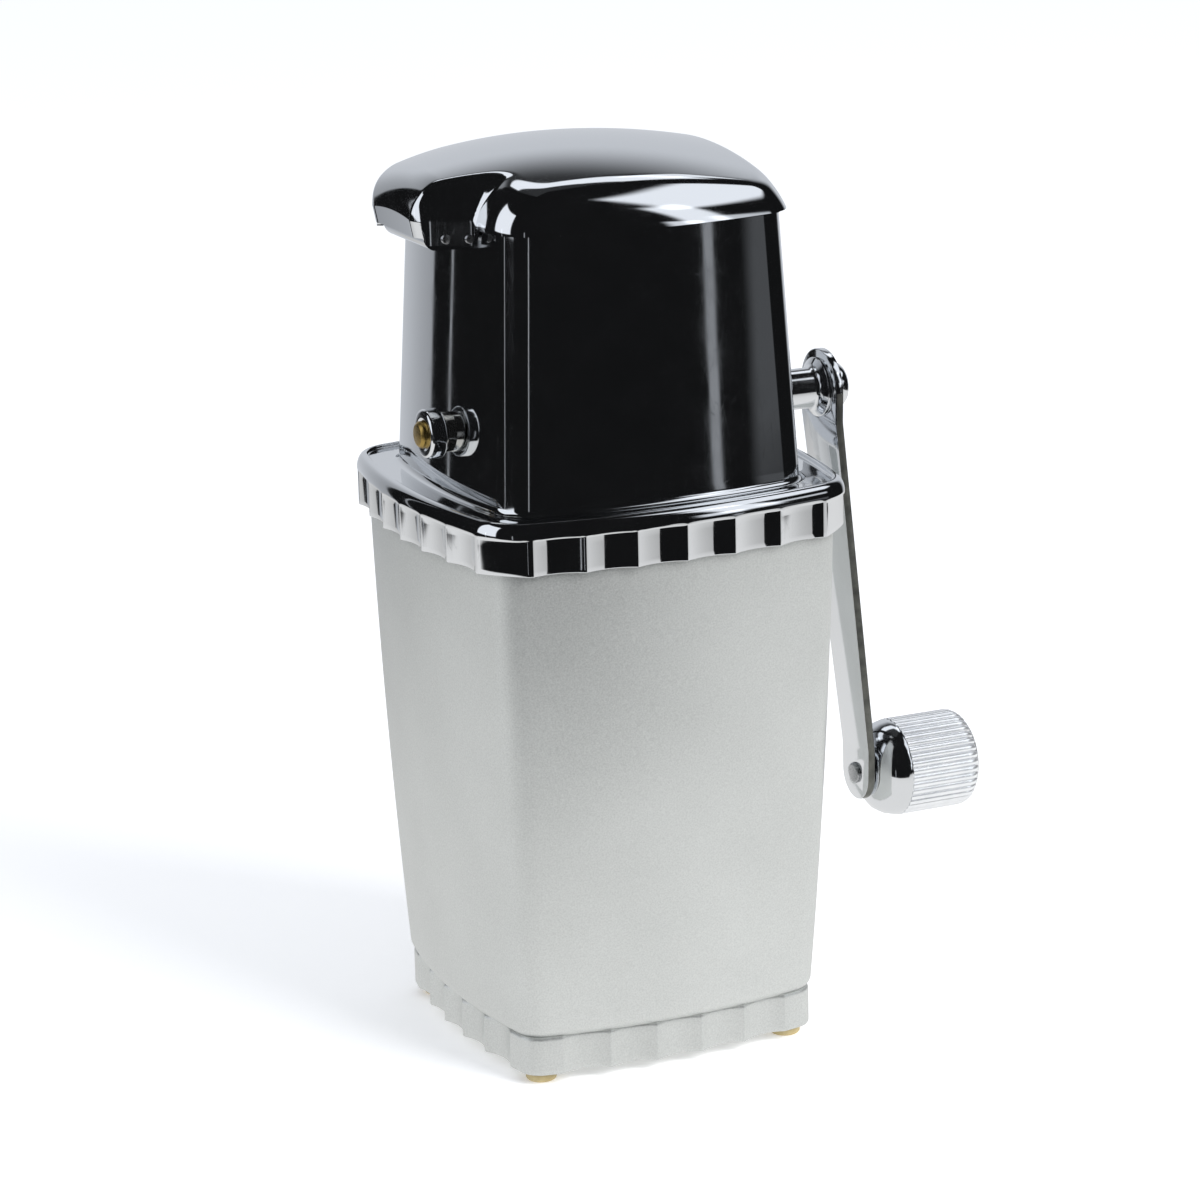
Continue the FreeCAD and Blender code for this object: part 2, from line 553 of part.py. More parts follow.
# ---------------------------------------------------------------- upper housing
def make_upper_housing():
    """Chromed shell: fluted collar with its bead, the shelf, and the tower with the hinge ear."""
    body = new_body("upper_housing")
    collar = square_sketch(body, "collar_sketch", SKIRT, COLLAR_HALF,
                           "Sizes.collarBulge", "Sizes.collarCorner")
    collar_pad = pad(body, collar, "Sizes.skirtHeight + Sizes.beadHeight", "collar")
    bead = fillet(body, collar_pad, flat_edges_at(collar_pad, number(BEAD)), "Sizes.beadRound", "bead")
    dish = square_sketch(body, "shelf_sketch", BEAD, f"{COLLAR_HALF} - Sizes.beadWidth",
                         "Sizes.collarBulge - Sizes.beadWidth", "Sizes.collarCorner - Sizes.beadWidth")
    pocket(body, dish, "Sizes.shelfDrop", "shelf")
    tower = [square_sketch(body, f"tower_{i}", level, half, "Sizes.towerBulge", "Sizes.towerCorner")
             for i, (level, half) in enumerate([(SHELF, "Sizes.towerBaseHalf"), (MOUTH, "Sizes.towerTopHalf")])]
    tower_loft = loft(body, tower, "tower")
    foot = flat_edges_at(tower_loft, number(SHELF), inside=number("Sizes.towerBaseHalf") + 0.5)
    fillet(body, tower_loft, foot, "Sizes.towerFillet", "tower_foot")
    skirt_inside = square_sketch(body, "skirt_inside", SKIRT, "Sizes.tubTopHalf + Sizes.skirtClearance",
                                 "Sizes.tubBulge", "Sizes.tubCorner + Sizes.skirtClearance")
    pocket(body, skirt_inside, "Sizes.skirtOverlap", "skirt_recess", backwards=True)
    under = square_sketch(body, "under_shelf", RIM, LIP_INNER, f"Sizes.tubBulge - {LIP_INSET}",
                          f"Sizes.tubCorner - {LIP_INSET}")
    pocket(body, under, f"{SHELF_UNDER} - {RIM}", "collar_room", backwards=True)
    bore = [square_sketch(body, f"bore_{i}", level, f"{half} - Sizes.towerWall",
                          "Sizes.towerBulge - Sizes.towerWall", "Sizes.towerCorner - Sizes.towerWall")
            for i, (level, half) in enumerate([(SHELF_UNDER, "Sizes.towerBaseHalf"),
                                               (MOUTH, "Sizes.towerTopHalf")])]
    loft(body, bore, "tower_bore", cut=True)
    lip = sketch_on(body, "lip_sketch", "XY_Plane", f"{RIM} - Sizes.lipDepth")
    rounded_square(lip, LIP_OUTER, "Sizes.tubBulge - Sizes.tubWall - Sizes.lipClearance",
                   "Sizes.tubCorner - Sizes.tubWall - Sizes.lipClearance")
    rounded_square(lip, LIP_INNER, f"Sizes.tubBulge - {LIP_INSET}", f"Sizes.tubCorner - {LIP_INSET}")
    pad(body, lip, "Sizes.lipDepth", "lip")
    for name, x, y in corner_places("Sizes.screwSpread"):
        post = sketch_on(body, f"post_sketch_{name}", "XY_Plane", FLANGE_TOP)
        circle(post, x, y, "Sizes.screwPost")
        pad(body, post, f"{SHELF_UNDER} - {FLANGE_TOP} + 0.5 * Sizes.towerWall", f"screw_post_{name}")
        hole = sketch_on(body, f"post_hole_{name}", "XY_Plane", FLANGE_TOP)
        circle(hole, x, y, "Sizes.screwRadius + Sizes.seatFit")
        pocket(body, hole, "Sizes.screwLength + Sizes.seatFit", f"screw_hole_{name}", backwards=True)
    web_top = f"{HINGE} - Sizes.restPinRadius - Sizes.earGap"
    web = sketch_on(body, "ear_sketch", "XZ_Plane")
    root = "(Sizes.towerTopHalf - 0.6 * Sizes.towerWall)"
    polygon(web, [(f"-{HINGE_X}", f"{web_top} - Sizes.earThickness"),
                  (f"-{root}", f"{web_top} - Sizes.earThickness"),
                  (f"-{root}", web_top),
                  (f"-{HINGE_X}", web_top)])
    pad(body, web, f"2 * {EAR_HALF}", "ear", symmetric=True)
    knuckle = sketch_on(body, "knuckle_sketch", "XZ_Plane")
    circle(knuckle, f"-{HINGE_X}", HINGE, "Sizes.earRadius")
    pad(body, knuckle, f"2 * {EAR_HALF}", "knuckle", symmetric=True)
    pin = sketch_on(body, "hinge_hole_sketch", "XZ_Plane")
    circle(pin, f"-{HINGE_X}", HINGE, "Sizes.hingePinRadius + Sizes.axleFit")
    pocket(body, pin, f"4 * {EAR_HALF}", "hinge_hole", symmetric=True)
    bush = sketch_on(body, "bush_hole_sketch", "YZ_Plane")
    circle(bush, AXLE_Y, AXLE, "Sizes.bushRadius + Sizes.seatFit")
    pocket(body, bush, "4 * Sizes.towerBaseHalf", "bush_holes", symmetric=True)
    cut_flutes(body, "collar", COLLAR_HALF, "Sizes.collarBulge", SKIRT, "Sizes.skirtHeight")
    return body


# ---------------------------------------------------------------- feet
def make_rubber_feet():
    """Four rubber buttons with stems that push up into the plinth."""
    body = new_body("rubber_feet")
    button = sketch_on(body, "button_sketch", "XY_Plane")
    stem = sketch_on(body, "stem_sketch", "XY_Plane", "Sizes.footHeight")
    for name, x, y in corner_places(FOOT_SPREAD):
        circle(button, x, y, "Sizes.footRadius")
        circle(stem, x, y, "Sizes.footPlugRadius")
    pad(body, button, "Sizes.footHeight", "buttons")
    stems = pad(body, stem, "Sizes.footPlugLength", "stems")
    soles = edges_where(stems, lambda box: box.ZMax < 0.01)
    fillet(body, stems, soles, "Sizes.footRound", "sole_rounding")
    return body


# ---------------------------------------------------------------- hopper frame
def throat_corners(inset, corner):
    """Corners of the throat in plan, each face moved in by an inset."""
    side = f"(Sizes.throatHalf - {inset})"
    front = f"({THROAT_FRONT} - {inset})"
    back = f"(Sizes.throatBack - {inset})"
    return [(f"-{side}", f"-{front}", corner), (side, f"-{front}", corner),
            (side, back, corner), (f"-{side}", back, corner)]


def tooth_places():
    """Middle of each comb tooth along the axle: one between every two blades and one at each end."""
    count = int(number("Sizes.bladeCount")) + 1
    return [f"({i} - ({count} - 1) / 2) * (Sizes.bladeThickness + Sizes.spacerLength)" for i in range(count)]


def funnel_mouth(body, name, inset):
    """Rim of the funnel, which follows the inside of the tower."""
    inward = f"(Sizes.towerWall + Sizes.funnelGap + {inset})"
    return square_sketch(body, name, f"{MOUTH} - Sizes.funnelBelow", f"Sizes.towerTopHalf - {inward}",
                         f"Sizes.towerBulge - {inward}", f"Sizes.towerCorner - {inward}")


def make_hopper_frame():
    """Steel frame in the tower: flange, throat round the rotor and funnel up to the mouth."""
    body = new_body("hopper_frame")
    throat_top = f"({AXLE} + Sizes.throatTop)"
    bare_corner = "Sizes.throatCorner - Sizes.frameWall"
    flange_inset = f"({LIP_INSET} + Sizes.frameGap)"
    flange = square_sketch(body, "flange_sketch", FLANGE_UNDER, f"{LIP_INNER} - Sizes.frameGap",
                           f"Sizes.tubBulge - {flange_inset}", f"Sizes.tubCorner - {flange_inset}")
    pad(body, flange, "Sizes.frameFlange", "flange")
    throat = sketch_on(body, "throat_sketch", "XY_Plane", FLANGE_UNDER)
    rounded_outline(throat, throat_corners("0", "Sizes.throatCorner"))
    pad(body, throat, f"{throat_top} - {FLANGE_UNDER}", "throat")
    for name, inset, corner, cut in (("funnel", "0", "Sizes.throatCorner", False),
                                     ("funnel_hollow", "Sizes.frameWall", bare_corner, True)):
        root = sketch_on(body, f"{name}_root", "XY_Plane", throat_top)
        rounded_outline(root, throat_corners(inset, corner))
        loft(body, [root, funnel_mouth(body, f"{name}_mouth", inset)], name, cut=cut)
    hollow = sketch_on(body, "throat_hollow_sketch", "XY_Plane", FLANGE_UNDER)
    rounded_outline(hollow, throat_corners("Sizes.frameWall", bare_corner))
    pocket(body, hollow, f"{throat_top} - {FLANGE_UNDER}", "throat_hollow", backwards=True)
    windows = sketch_on(body, "window_sketch", "XZ_Plane")
    half_wide = "(0.5 * Sizes.combTooth + Sizes.combWindow)"
    half_tall = "(0.5 * Sizes.combThickness + Sizes.combWindow)"
    for x in tooth_places():
        polygon(windows, [(f"{x} - {half_wide}", f"{AXLE} - {half_tall}"),
                          (f"{x} + {half_wide}", f"{AXLE} - {half_tall}"),
                          (f"{x} + {half_wide}", f"{AXLE} + {half_tall}"),
                          (f"{x} - {half_wide}", f"{AXLE} + {half_tall}")])
    pocket(body, windows, f"4 * {THROAT_FRONT}", "comb_windows", symmetric=True)
    comb_holes = sketch_on(body, "comb_hole_sketch", "XZ_Plane")
    for x in ("-Sizes.combScrewSpread", "Sizes.combScrewSpread"):
        circle(comb_holes, x, f"{AXLE} + Sizes.combScrewRise", "Sizes.combScrewRadius + Sizes.seatFit")
    pocket(body, comb_holes, f"4 * {THROAT_FRONT}", "comb_screw_holes", symmetric=True)
    shaft_holes = sketch_on(body, "shaft_hole_sketch", "YZ_Plane")
    circle(shaft_holes, AXLE_Y, AXLE, "Sizes.shaftRadius + Sizes.axleFit")
    pocket(body, shaft_holes, "4 * Sizes.throatHalf", "shaft_holes", symmetric=True)
    screws = sketch_on(body, "flange_hole_sketch", "XY_Plane", FLANGE_UNDER)
    for name, x, y in corner_places("Sizes.screwSpread"):
        circle(screws, x, y, "Sizes.screwRadius + Sizes.seatFit")
    pocket(body, screws, "Sizes.frameFlange", "flange_holes", backwards=True)
    return body


def make_frame_screws():
    """Four screws that hold the frame up against the posts of the housing."""
    body = new_body("frame_screws")
    shanks = sketch_on(body, "shank_sketch", "XY_Plane", FLANGE_UNDER)
    heads = sketch_on(body, "head_sketch", "XY_Plane", FLANGE_UNDER)
    for name, x, y in corner_places("Sizes.screwSpread"):
        circle(shanks, x, y, "Sizes.screwRadius")
        circle(heads, x, y, "Sizes.screwHeadRadius")
    pad(body, shanks, "Sizes.frameFlange + Sizes.screwLength", "shanks")
    pad(body, heads, "Sizes.screwHeadHeight", "heads", backwards=True)
    return body


# ---------------------------------------------------------------- combs
def make_comb(label, wall, facing):
    """Fixed comb on one wall of the throat; facing is +1 where its teeth point to the back."""
    body = new_body(label)
    face = f"({-facing} * {wall})"
    plate = sketch_on(body, "plate_sketch", "XZ_Plane", f"-{face}")
    low = f"{AXLE} - Sizes.combPlateFall"
    high = f"{AXLE} + Sizes.combPlateRise"
    soft = "Sizes.combPlate"
    rounded_outline(plate, [("-Sizes.combPlateHalf", low, soft), ("Sizes.combPlateHalf", low, soft),
                            ("Sizes.combPlateHalf", high, soft), ("-Sizes.combPlateHalf", high, soft)])
    pad(body, plate, "Sizes.combPlate", "plate", backwards=facing < 0)
    teeth = sketch_on(body, "teeth_sketch", "XY_Plane", AXLE)
    tip = f"({AXLE_Y} - {facing} * (Sizes.spacerRadius + Sizes.combGap))"
    shoulder = f"({tip} - {facing} * 2 * Sizes.combPoint)"
    root = f"({face} - {facing} * 0.5 * Sizes.combPlate)"
    for x in tooth_places():
        half = "0.5 * Sizes.combTooth"
        point = f"({half} - Sizes.combPoint)"
        polygon(teeth, [(f"{x} - {half}", root), (f"{x} + {half}", root), (f"{x} + {half}", shoulder),
                        (f"{x} + {point}", tip), (f"{x} - {point}", tip), (f"{x} - {half}", shoulder)])
    pad(body, teeth, "Sizes.combThickness", "teeth", symmetric=True)
    holes = sketch_on(body, "hole_sketch", "XZ_Plane", f"-{face}")
    for x in ("-Sizes.combScrewSpread", "Sizes.combScrewSpread"):
        circle(holes, x, f"{AXLE} + Sizes.combScrewRise", "Sizes.combScrewRadius + Sizes.seatFit")
    pocket(body, holes, "4 * Sizes.combPlate", "screw_holes", symmetric=True)
    return body


def make_comb_screws():
    """Two screws through each comb into the wall of the throat."""
    body = new_body("comb_screws")
    rise = f"{AXLE} + Sizes.combScrewRise"
    for name, wall, outward in (("front", THROAT_FRONT, 1), ("back", "Sizes.throatBack", -1)):
        seat = f"{outward} * ({wall} + Sizes.combPlate)"
        shanks = sketch_on(body, f"{name}_shank_sketch", "XZ_Plane", seat)
        heads = sketch_on(body, f"{name}_head_sketch", "XZ_Plane", seat)
        for x in ("-Sizes.combScrewSpread", "Sizes.combScrewSpread"):
            circle(shanks, x, rise, "Sizes.combScrewRadius")
            circle(heads, x, rise, "Sizes.combScrewHead")
        pad(body, shanks, "Sizes.combPlate + Sizes.frameWall", f"{name}_shanks", backwards=outward > 0)
        pad(body, heads, "Sizes.combScrewHeadHeight", f"{name}_heads", backwards=outward < 0)
    return body


# ---------------------------------------------------------------- rotor
STACK_HALF = ("((Sizes.bladeCount * Sizes.bladeThickness"
              " + (Sizes.bladeCount + 1) * Sizes.spacerLength) / 2)")
SHAFT_LEFT = f"({BUSH_OUT} + Sizes.endGap + Sizes.capLength + Sizes.shaftTail)"
SHAFT_RIGHT = f"({ARM_OUT} + Sizes.washerThickness + Sizes.shaftInNut)"


def turned(label, axis_height, corners):
    """A piece turned about an axis along X; its corners are (x, radius, rounding)."""
    body = new_body(label)
    profile = sketch_on(body, f"{label}_profile", "XZ_Plane", "Sizes.axleOffset", axis_height)
    rounded_outline(profile, corners)
    revolve(body, profile, "H_Axis", f"{label}_turned")
    return body


def make_rotor_shaft():
    """Shaft with a hexagonal middle for the blades and turned ends."""
    nick = "Sizes.shaftChamfer"
    end = f"(Sizes.shaftRadius - {nick})"
    body = turned("rotor_shaft", AXLE, [
        (f"-{SHAFT_LEFT}", "0", ""), (f"{SHAFT_RIGHT}", "0", ""), (f"{SHAFT_RIGHT}", end, ""),
        (f"{SHAFT_RIGHT} - {nick}", "Sizes.shaftRadius", ""),
        (f"{nick} - {SHAFT_LEFT}", "Sizes.shaftRadius", ""), (f"-{SHAFT_LEFT}", end, "")])
    middle = sketch_on(body, "hexagon_sketch", "YZ_Plane")
    hexagon(middle, AXLE_Y, AXLE, "Sizes.shaftFlats")
    pad(body, middle, f"2 * {STACK_HALF}", "hexagon", symmetric=True)
    return body


def polar(radius, angle):
    """A point of the blade, from the axle, as a pair of expressions."""
    return f"({radius}) * cos(({angle}) * 1 deg)", f"({radius}) * sin(({angle}) * 1 deg)"


def make_rotor_blade(number_of_blade):
    """Punched claw blade: three hooked teeth on a hub with a hexagonal hole."""
    body = new_body(f"rotor_blade_{number_of_blade + 1}")
    middle = (f"({number_of_blade} - (Sizes.bladeCount - 1) / 2)"
              " * (Sizes.bladeThickness + Sizes.spacerLength)")
    twist = f"{number_of_blade} * Sizes.bladeTwist"
    hub = sketch_on(body, "hub_sketch", "YZ_Plane", middle, AXLE, AXLE_Y)
    circle(hub, "0", "0", "Sizes.bladeHub")
    pad(body, hub, "Sizes.bladeThickness", "hub", symmetric=True)
    tooth = sketch_on(body, "tooth_sketch", "YZ_Plane", middle, AXLE, AXLE_Y)
    root = "0.8 * Sizes.bladeHub"
    outline = [
        (root, f"{twist} - Sizes.toothLead", ""),
        ("Sizes.toothWaist", f"{twist} - 0.25 * Sizes.toothLead", "Sizes.toothCurve"),
        ("Sizes.bladeRadius", f"{twist} + Sizes.toothHook - Sizes.toothLand", ""),
        ("Sizes.bladeRadius", f"{twist} + Sizes.toothHook", ""),
        ("Sizes.toothWaist", f"{twist} + 0.9 * Sizes.toothBack", "Sizes.toothCurve"),
        (root, f"{twist} + 2 * Sizes.toothBack", ""),
    ]
    rounded_outline(tooth, [(*polar(radius, angle), rounding) for radius, angle, rounding in outline])
    first = pad(body, tooth, "Sizes.bladeThickness", "tooth", symmetric=True)
    teeth = body.newObject("PartDesign::PolarPattern", "teeth")
    teeth.Originals = [first]
    teeth.Axis = (tooth, ["N_Axis"])
    teeth.Angle = 360
    teeth.setExpression("Occurrences", "Sizes.bladeTeeth")
    body.Tip = teeth
    doc.recompute()
    hole = sketch_on(body, "hole_sketch", "YZ_Plane", middle, AXLE, AXLE_Y)
    hexagon(hole, "0", "0", "(Sizes.shaftFlats + Sizes.hexFit)")
    pocket(body, hole, "2 * Sizes.bladeThickness", "hexagon_hole", symmetric=True)
    return body


def make_rotor_spacers():
    """Sleeves on the hexagon: one between every two blades and one at each end."""
    body = new_body("rotor_spacers")
    for i, x in enumerate(tooth_places()):
        sleeve = sketch_on(body, f"sleeve_sketch_{i}", "YZ_Plane", x, AXLE, AXLE_Y)
        circle(sleeve, "0", "0", "Sizes.spacerRadius")
        hexagon(sleeve, "0", "0", "(Sizes.shaftFlats + Sizes.hexFit)")
        pad(body, sleeve, "Sizes.spacerLength", f"sleeve_{i}", symmetric=True)
    return body


# ---------------------------------------------------------------- bushes and left cap
def make_bush(label, side):
    """Flanged bush in the tower wall, pushed in from the inside; side is -1 left, +1 right."""
    bore = "(Sizes.shaftRadius + Sizes.axleFit)"
    flange_out = f"({TOWER_SIDE} - Sizes.towerWall - Sizes.bushFlangeGap)"
    flange_in = f"({flange_out} - Sizes.bushFlangeThickness)"
    soft = "Sizes.bushRound"
    corners = [(flange_in, bore, ""), (flange_in, "Sizes.bushFlange", ""),
               (flange_out, "Sizes.bushFlange", ""), (flange_out, "Sizes.bushRadius", ""),
               (BUSH_OUT, "Sizes.bushRadius", soft), (BUSH_OUT, bore, "")]
    return turned(label, AXLE, [(f"{side} * {x}", radius, rounding) for x, radius, rounding in corners])


def make_shaft_cap():
    """Round nut that holds the left end of the shaft against its bush."""
    bore = "(Sizes.shaftRadius + Sizes.seatFit)"
    inner = f"({BUSH_OUT} + Sizes.endGap)"
    outer = f"({inner} + Sizes.capLength)"
    corners = [(inner, bore, ""), (inner, "Sizes.capRadius", ""),
               (outer, "Sizes.capRadius", "Sizes.capRound"), (outer, bore, "")]
    return turned("shaft_cap", AXLE, [(f"-{x}", radius, rounding) for x, radius, rounding in corners])


# ---------------------------------------------------------------- crank
def make_crank_hub():
    """Sleeve between the right bush and the arm, flaring to a flange."""
    bore = "(Sizes.shaftRadius + Sizes.seatFit)"
    start = f"({BUSH_OUT} + Sizes.endGap)"
    flare = "(Sizes.armReach - Sizes.hubFlareLength)"
    return turned("crank_hub", AXLE, [
        (start, bore, ""), ("Sizes.armReach", bore, ""), ("Sizes.armReach", "Sizes.hubFlare", ""),
        ("Sizes.armReach - Sizes.hubFlareEdge", "Sizes.hubFlare", ""),
        (flare, "Sizes.hubRadius", "Sizes.hubFlareRound"), (start, "Sizes.hubRadius", "")])


def tapered_bar(sketch):
    """Face outline of the arm: a large round end at the axle and a small one at the knob."""
    top = FreeCAD.Vector(number(AXLE_Y), number(AXLE), 0)
    length = number("Sizes.armLength")
    large = number("Sizes.armTopRadius")
    small = number("Sizes.armEndRadius")
    lean = math.asin((large - small) / length)
    bottom = top - FreeCAD.Vector(0, length, 0)
    ends = ((top, large, -lean, math.pi + lean), (bottom, small, math.pi + lean, -lean))
    for centre, radius, start, end in ends:
        full = Part.Circle(centre, FreeCAD.Vector(0, 0, 1), radius)
        sketch.addGeometry(Part.ArcOfCircle(full, start, end))
    first = sketch.GeometryCount - 2
    left = FreeCAD.Vector(-math.cos(lean), -math.sin(lean), 0)
    right = FreeCAD.Vector(math.cos(lean), -math.sin(lean), 0)
    sketch.addGeometry(Part.LineSegment(top + left * large, bottom + left * small))
    sketch.addGeometry(Part.LineSegment(bottom + right * small, top + right * large))
    loop = [first, first + 2, first + 1, first + 3]
    for i in range(4):
        sketch.addConstraint(Sketcher.Constraint("Tangent", loop[i], 2, loop[(i + 1) % 4], 1))
    pin_point(sketch, first, 3, AXLE_Y, AXLE)
    pin_point(sketch, first + 1, 3, AXLE_Y, KNOB_Z)
    bind(sketch, "Radius", (first,), "Sizes.armTopRadius")
    bind(sketch, "Radius", (first + 1,), "Sizes.armEndRadius")


def make_crank_arm():
    """Flat steel bar, bent twice so that it leans out to the knob, with round ends."""
    body = new_body("crank_arm")
    upper = f"({AXLE} - Sizes.armBendTop)"
    lower = f"({KNOB_Z} + Sizes.armBendEnd)"
    above = f"({AXLE} + 1.5 * Sizes.armTopRadius)"
    below = f"({KNOB_Z} - 1.5 * Sizes.armEndRadius)"
    foot = "(Sizes.armReach + Sizes.armOffset)"
    bend = "Sizes.armBendRadius"
    wide_bend = "Sizes.armBendRadius + Sizes.armThickness"
    side = sketch_on(body, "side_sketch", "XZ_Plane", "Sizes.axleOffset")
    rounded_outline(side, [
        ("Sizes.armReach", above, ""), ("Sizes.armReach", upper, wide_bend), (foot, lower, bend),
        (foot, below, ""), (f"{foot} + Sizes.armThickness", below, ""),
        (f"{foot} + Sizes.armThickness", lower, wide_bend),
        (ARM_OUT, upper, bend), (ARM_OUT, above, "")])
    pad(body, side, "3 * Sizes.armTopRadius", "bent_bar", symmetric=True)
    face = sketch_on(body, "face_sketch", "YZ_Plane")
    wide = "2 * Sizes.armTopRadius"
    polygon(face, [(f"{AXLE_Y} - {wide}", f"{below} - {wide}"), (f"{AXLE_Y} + {wide}", f"{below} - {wide}"),
                   (f"{AXLE_Y} + {wide}", f"{above} + {wide}"), (f"{AXLE_Y} - {wide}", f"{above} + {wide}")])
    tapered_bar(face)
    pocket(body, face, "4 * Sizes.armReach", "outline", symmetric=True)
    holes = sketch_on(body, "hole_sketch", "YZ_Plane")
    circle(holes, AXLE_Y, AXLE, "Sizes.shaftRadius + Sizes.seatFit")
    circle(holes, AXLE_Y, KNOB_Z, "Sizes.spindleRadius + Sizes.seatFit")
    pocket(body, holes, "4 * Sizes.armReach", "holes", symmetric=True)
    return body


def make_washer():
    bore = "(Sizes.shaftRadius + Sizes.seatFit)"
    outer = f"({ARM_OUT} + Sizes.washerThickness)"
    return turned("crank_washer", AXLE, [
        (ARM_OUT, bore, ""), (outer, bore, ""), (outer, "Sizes.washerRadius", ""),
        (ARM_OUT, "Sizes.washerRadius", "")])


def make_crank_cap_nut():
    """Domed nut on the right end of the shaft, blind inside."""
    start = f"({ARM_OUT} + Sizes.washerThickness)"
    end = f"({start} + Sizes.capNutHeight)"
    blind = f"({SHAFT_RIGHT} + Sizes.endGap)"
    bore = "(Sizes.shaftRadius + Sizes.seatFit)"
    return turned("crank_cap_nut", AXLE, [
        (start, bore, ""), (blind, bore, ""), (blind, "0", ""), (end, "0", ""),
        (end, "Sizes.capNutRadius", "Sizes.capNutRound"), (start, "Sizes.capNutRadius", "")])


# ---------------------------------------------------------------- knob
KNOB_IN = f"({KNOB_ARM} + Sizes.endGap)"
KNOB_OUT = f"({KNOB_IN} + Sizes.knobLength)"
PLUG_IN = f"({KNOB_OUT} - Sizes.knobPlugLength)"
HEAD_OUT = f"({PLUG_IN} - Sizes.endGap)"
HEAD_IN = f"({HEAD_OUT} - Sizes.spindleHeadLength)"


def make_knob_spindle():
    """Spindle riveted into the arm, with a head that keeps the knob on."""
    inner = f"({KNOB_ARM} - Sizes.armThickness)"
    tail = f"({inner} - Sizes.spindleTail)"
    return turned("knob_spindle", KNOB_Z, [
        (tail, "0", ""), (HEAD_OUT, "0", ""), (HEAD_OUT, "Sizes.spindleHead", "Sizes.spindleRound"),
        (HEAD_IN, "Sizes.spindleHead", ""), (HEAD_IN, "Sizes.spindleRadius", ""),
        (inner, "Sizes.spindleRadius", ""), (inner, "Sizes.spindleTailRadius", ""),
        (tail, "Sizes.spindleTailRadius", "Sizes.spindleRound")])


def make_crank_knob():
    """Ribbed knob with a smooth domed nose, bored for the spindle and its head."""
    bore = "(Sizes.spindleRadius + Sizes.axleFit)"
    room = "(Sizes.spindleHead + Sizes.endGap)"
    seat = "(Sizes.knobPlugRadius + Sizes.seatFit)"
    floor = f"({HEAD_IN} - Sizes.endGap)"
    body = turned("crank_knob", KNOB_Z, [
        (KNOB_IN, bore, ""), (floor, bore, ""), (floor, room, ""), (PLUG_IN, room, ""),
        (PLUG_IN, seat, ""), (KNOB_OUT, seat, ""), (KNOB_OUT, "Sizes.knobRadius", "Sizes.knobEndRound"),
        (f"{KNOB_IN} + Sizes.knobNose", "Sizes.knobRadius", ""),
        (f"{KNOB_IN} + Sizes.knobShoulder", "Sizes.knobBrow", "Sizes.knobShoulder"),
        (KNOB_IN, "Sizes.knobNeck", "")])
    groove = sketch_on(body, "groove_sketch", "YZ_Plane", f"{KNOB_IN} + Sizes.knobNose", KNOB_Z, AXLE_Y)
    circle(groove, "0", "Sizes.knobRadius - Sizes.knobRibDepth + Sizes.knobRibCut", "Sizes.knobRibCut")
    cut = pocket(body, groove, "2 * Sizes.knobLength", "groove", backwards=True)
    grooves = body.newObject("PartDesign::PolarPattern", "grooves")
    grooves.Originals = [cut]
    grooves.Axis = (groove, ["N_Axis"])
    grooves.Angle = 360
    grooves.setExpression("Occurrences", "Sizes.knobRibs")
    body.Tip = grooves
    doc.recompute()
    return body


def make_knob_end_plug():
    return turned("knob_end_plug", KNOB_Z, [
        (PLUG_IN, "0", ""), (KNOB_OUT, "0", ""), (KNOB_OUT, "Sizes.knobPlugRadius", ""),
        (PLUG_IN, "Sizes.knobPlugRadius", "")])


# ---------------------------------------------------------------- lid
CROWN_TOP = f"({LID_RIM} + Sizes.crownRise)"
NOSE_BOTTOM = f"({LID_RIM} - Sizes.noseDrop)"


def crown_blank(label, inset):
    """Solid under the crown: an arc along X with the nose rounding, swept in a wider arc across."""
    body = new_body(label)
    axis = f"({CROWN_TOP} - Sizes.crownWidth)"
    sketch = sketch_on(body, f"{label}_profile", "XZ_Plane", "0", axis)
    crown = number("Sizes.crownLength") - number(inset)
    bend = number("Sizes.noseRound") - number(inset)
    crown_at = FreeCAD.Vector(-number("Sizes.crownShift"),
                              number("Sizes.crownWidth") - number("Sizes.crownLength"), 0)
    bend_x = number("Sizes.noseRound") - number(NOSE_END)
    bend_z = crown_at.y + math.sqrt((crown - bend) ** 2 - (bend_x - crown_at.x) ** 2)
    bend_at = FreeCAD.Vector(bend_x, bend_z, 0)
    lean = math.atan2(bend_z - crown_at.y, bend_x - crown_at.x)
    far = number(NOSE_END)
    far_angle = math.acos((far - crown_at.x) / crown)
    upright = FreeCAD.Vector(0, 0, 1)
    nose_foot = FreeCAD.Vector(bend_x - bend, 0, 0)
    nose_head = FreeCAD.Vector(bend_x - bend, bend_z, 0)
    far_head = crown_at + FreeCAD.Vector(math.cos(far_angle), math.sin(far_angle), 0) * crown
    far_foot = FreeCAD.Vector(far, 0, 0)
    sketch.addGeometry(Part.LineSegment(nose_foot, far_foot))
    sketch.addGeometry(Part.LineSegment(far_foot, far_head))
    sketch.addGeometry(Part.ArcOfCircle(Part.Circle(crown_at, upright, crown), far_angle, lean))
    sketch.addGeometry(Part.ArcOfCircle(Part.Circle(bend_at, upright, bend), lean, math.pi))
    sketch.addGeometry(Part.LineSegment(nose_head, nose_foot))
    for i, kind in enumerate(("Coincident", "Coincident", "Tangent", "Tangent", "Coincident")):
        sketch.addConstraint(Sketcher.Constraint(kind, i, 2, (i + 1) % 5, 1))
    pin_point(sketch, 0, 1, f"{inset} - {NOSE_END}", "0")
    pin_point(sketch, 0, 2, NOSE_END, "0")
    sketch.addConstraint(Sketcher.Constraint("Vertical", 1))
    bind(sketch, "Radius", (2,), f"Sizes.crownLength - {inset}")
    pin_point(sketch, 2, 3, "-Sizes.crownShift", "Sizes.crownWidth - Sizes.crownLength")
    bind(sketch, "Radius", (3,), f"Sizes.noseRound - {inset}")
    revolve(body, sketch, "H_Axis", f"{label}_turned")
    return body


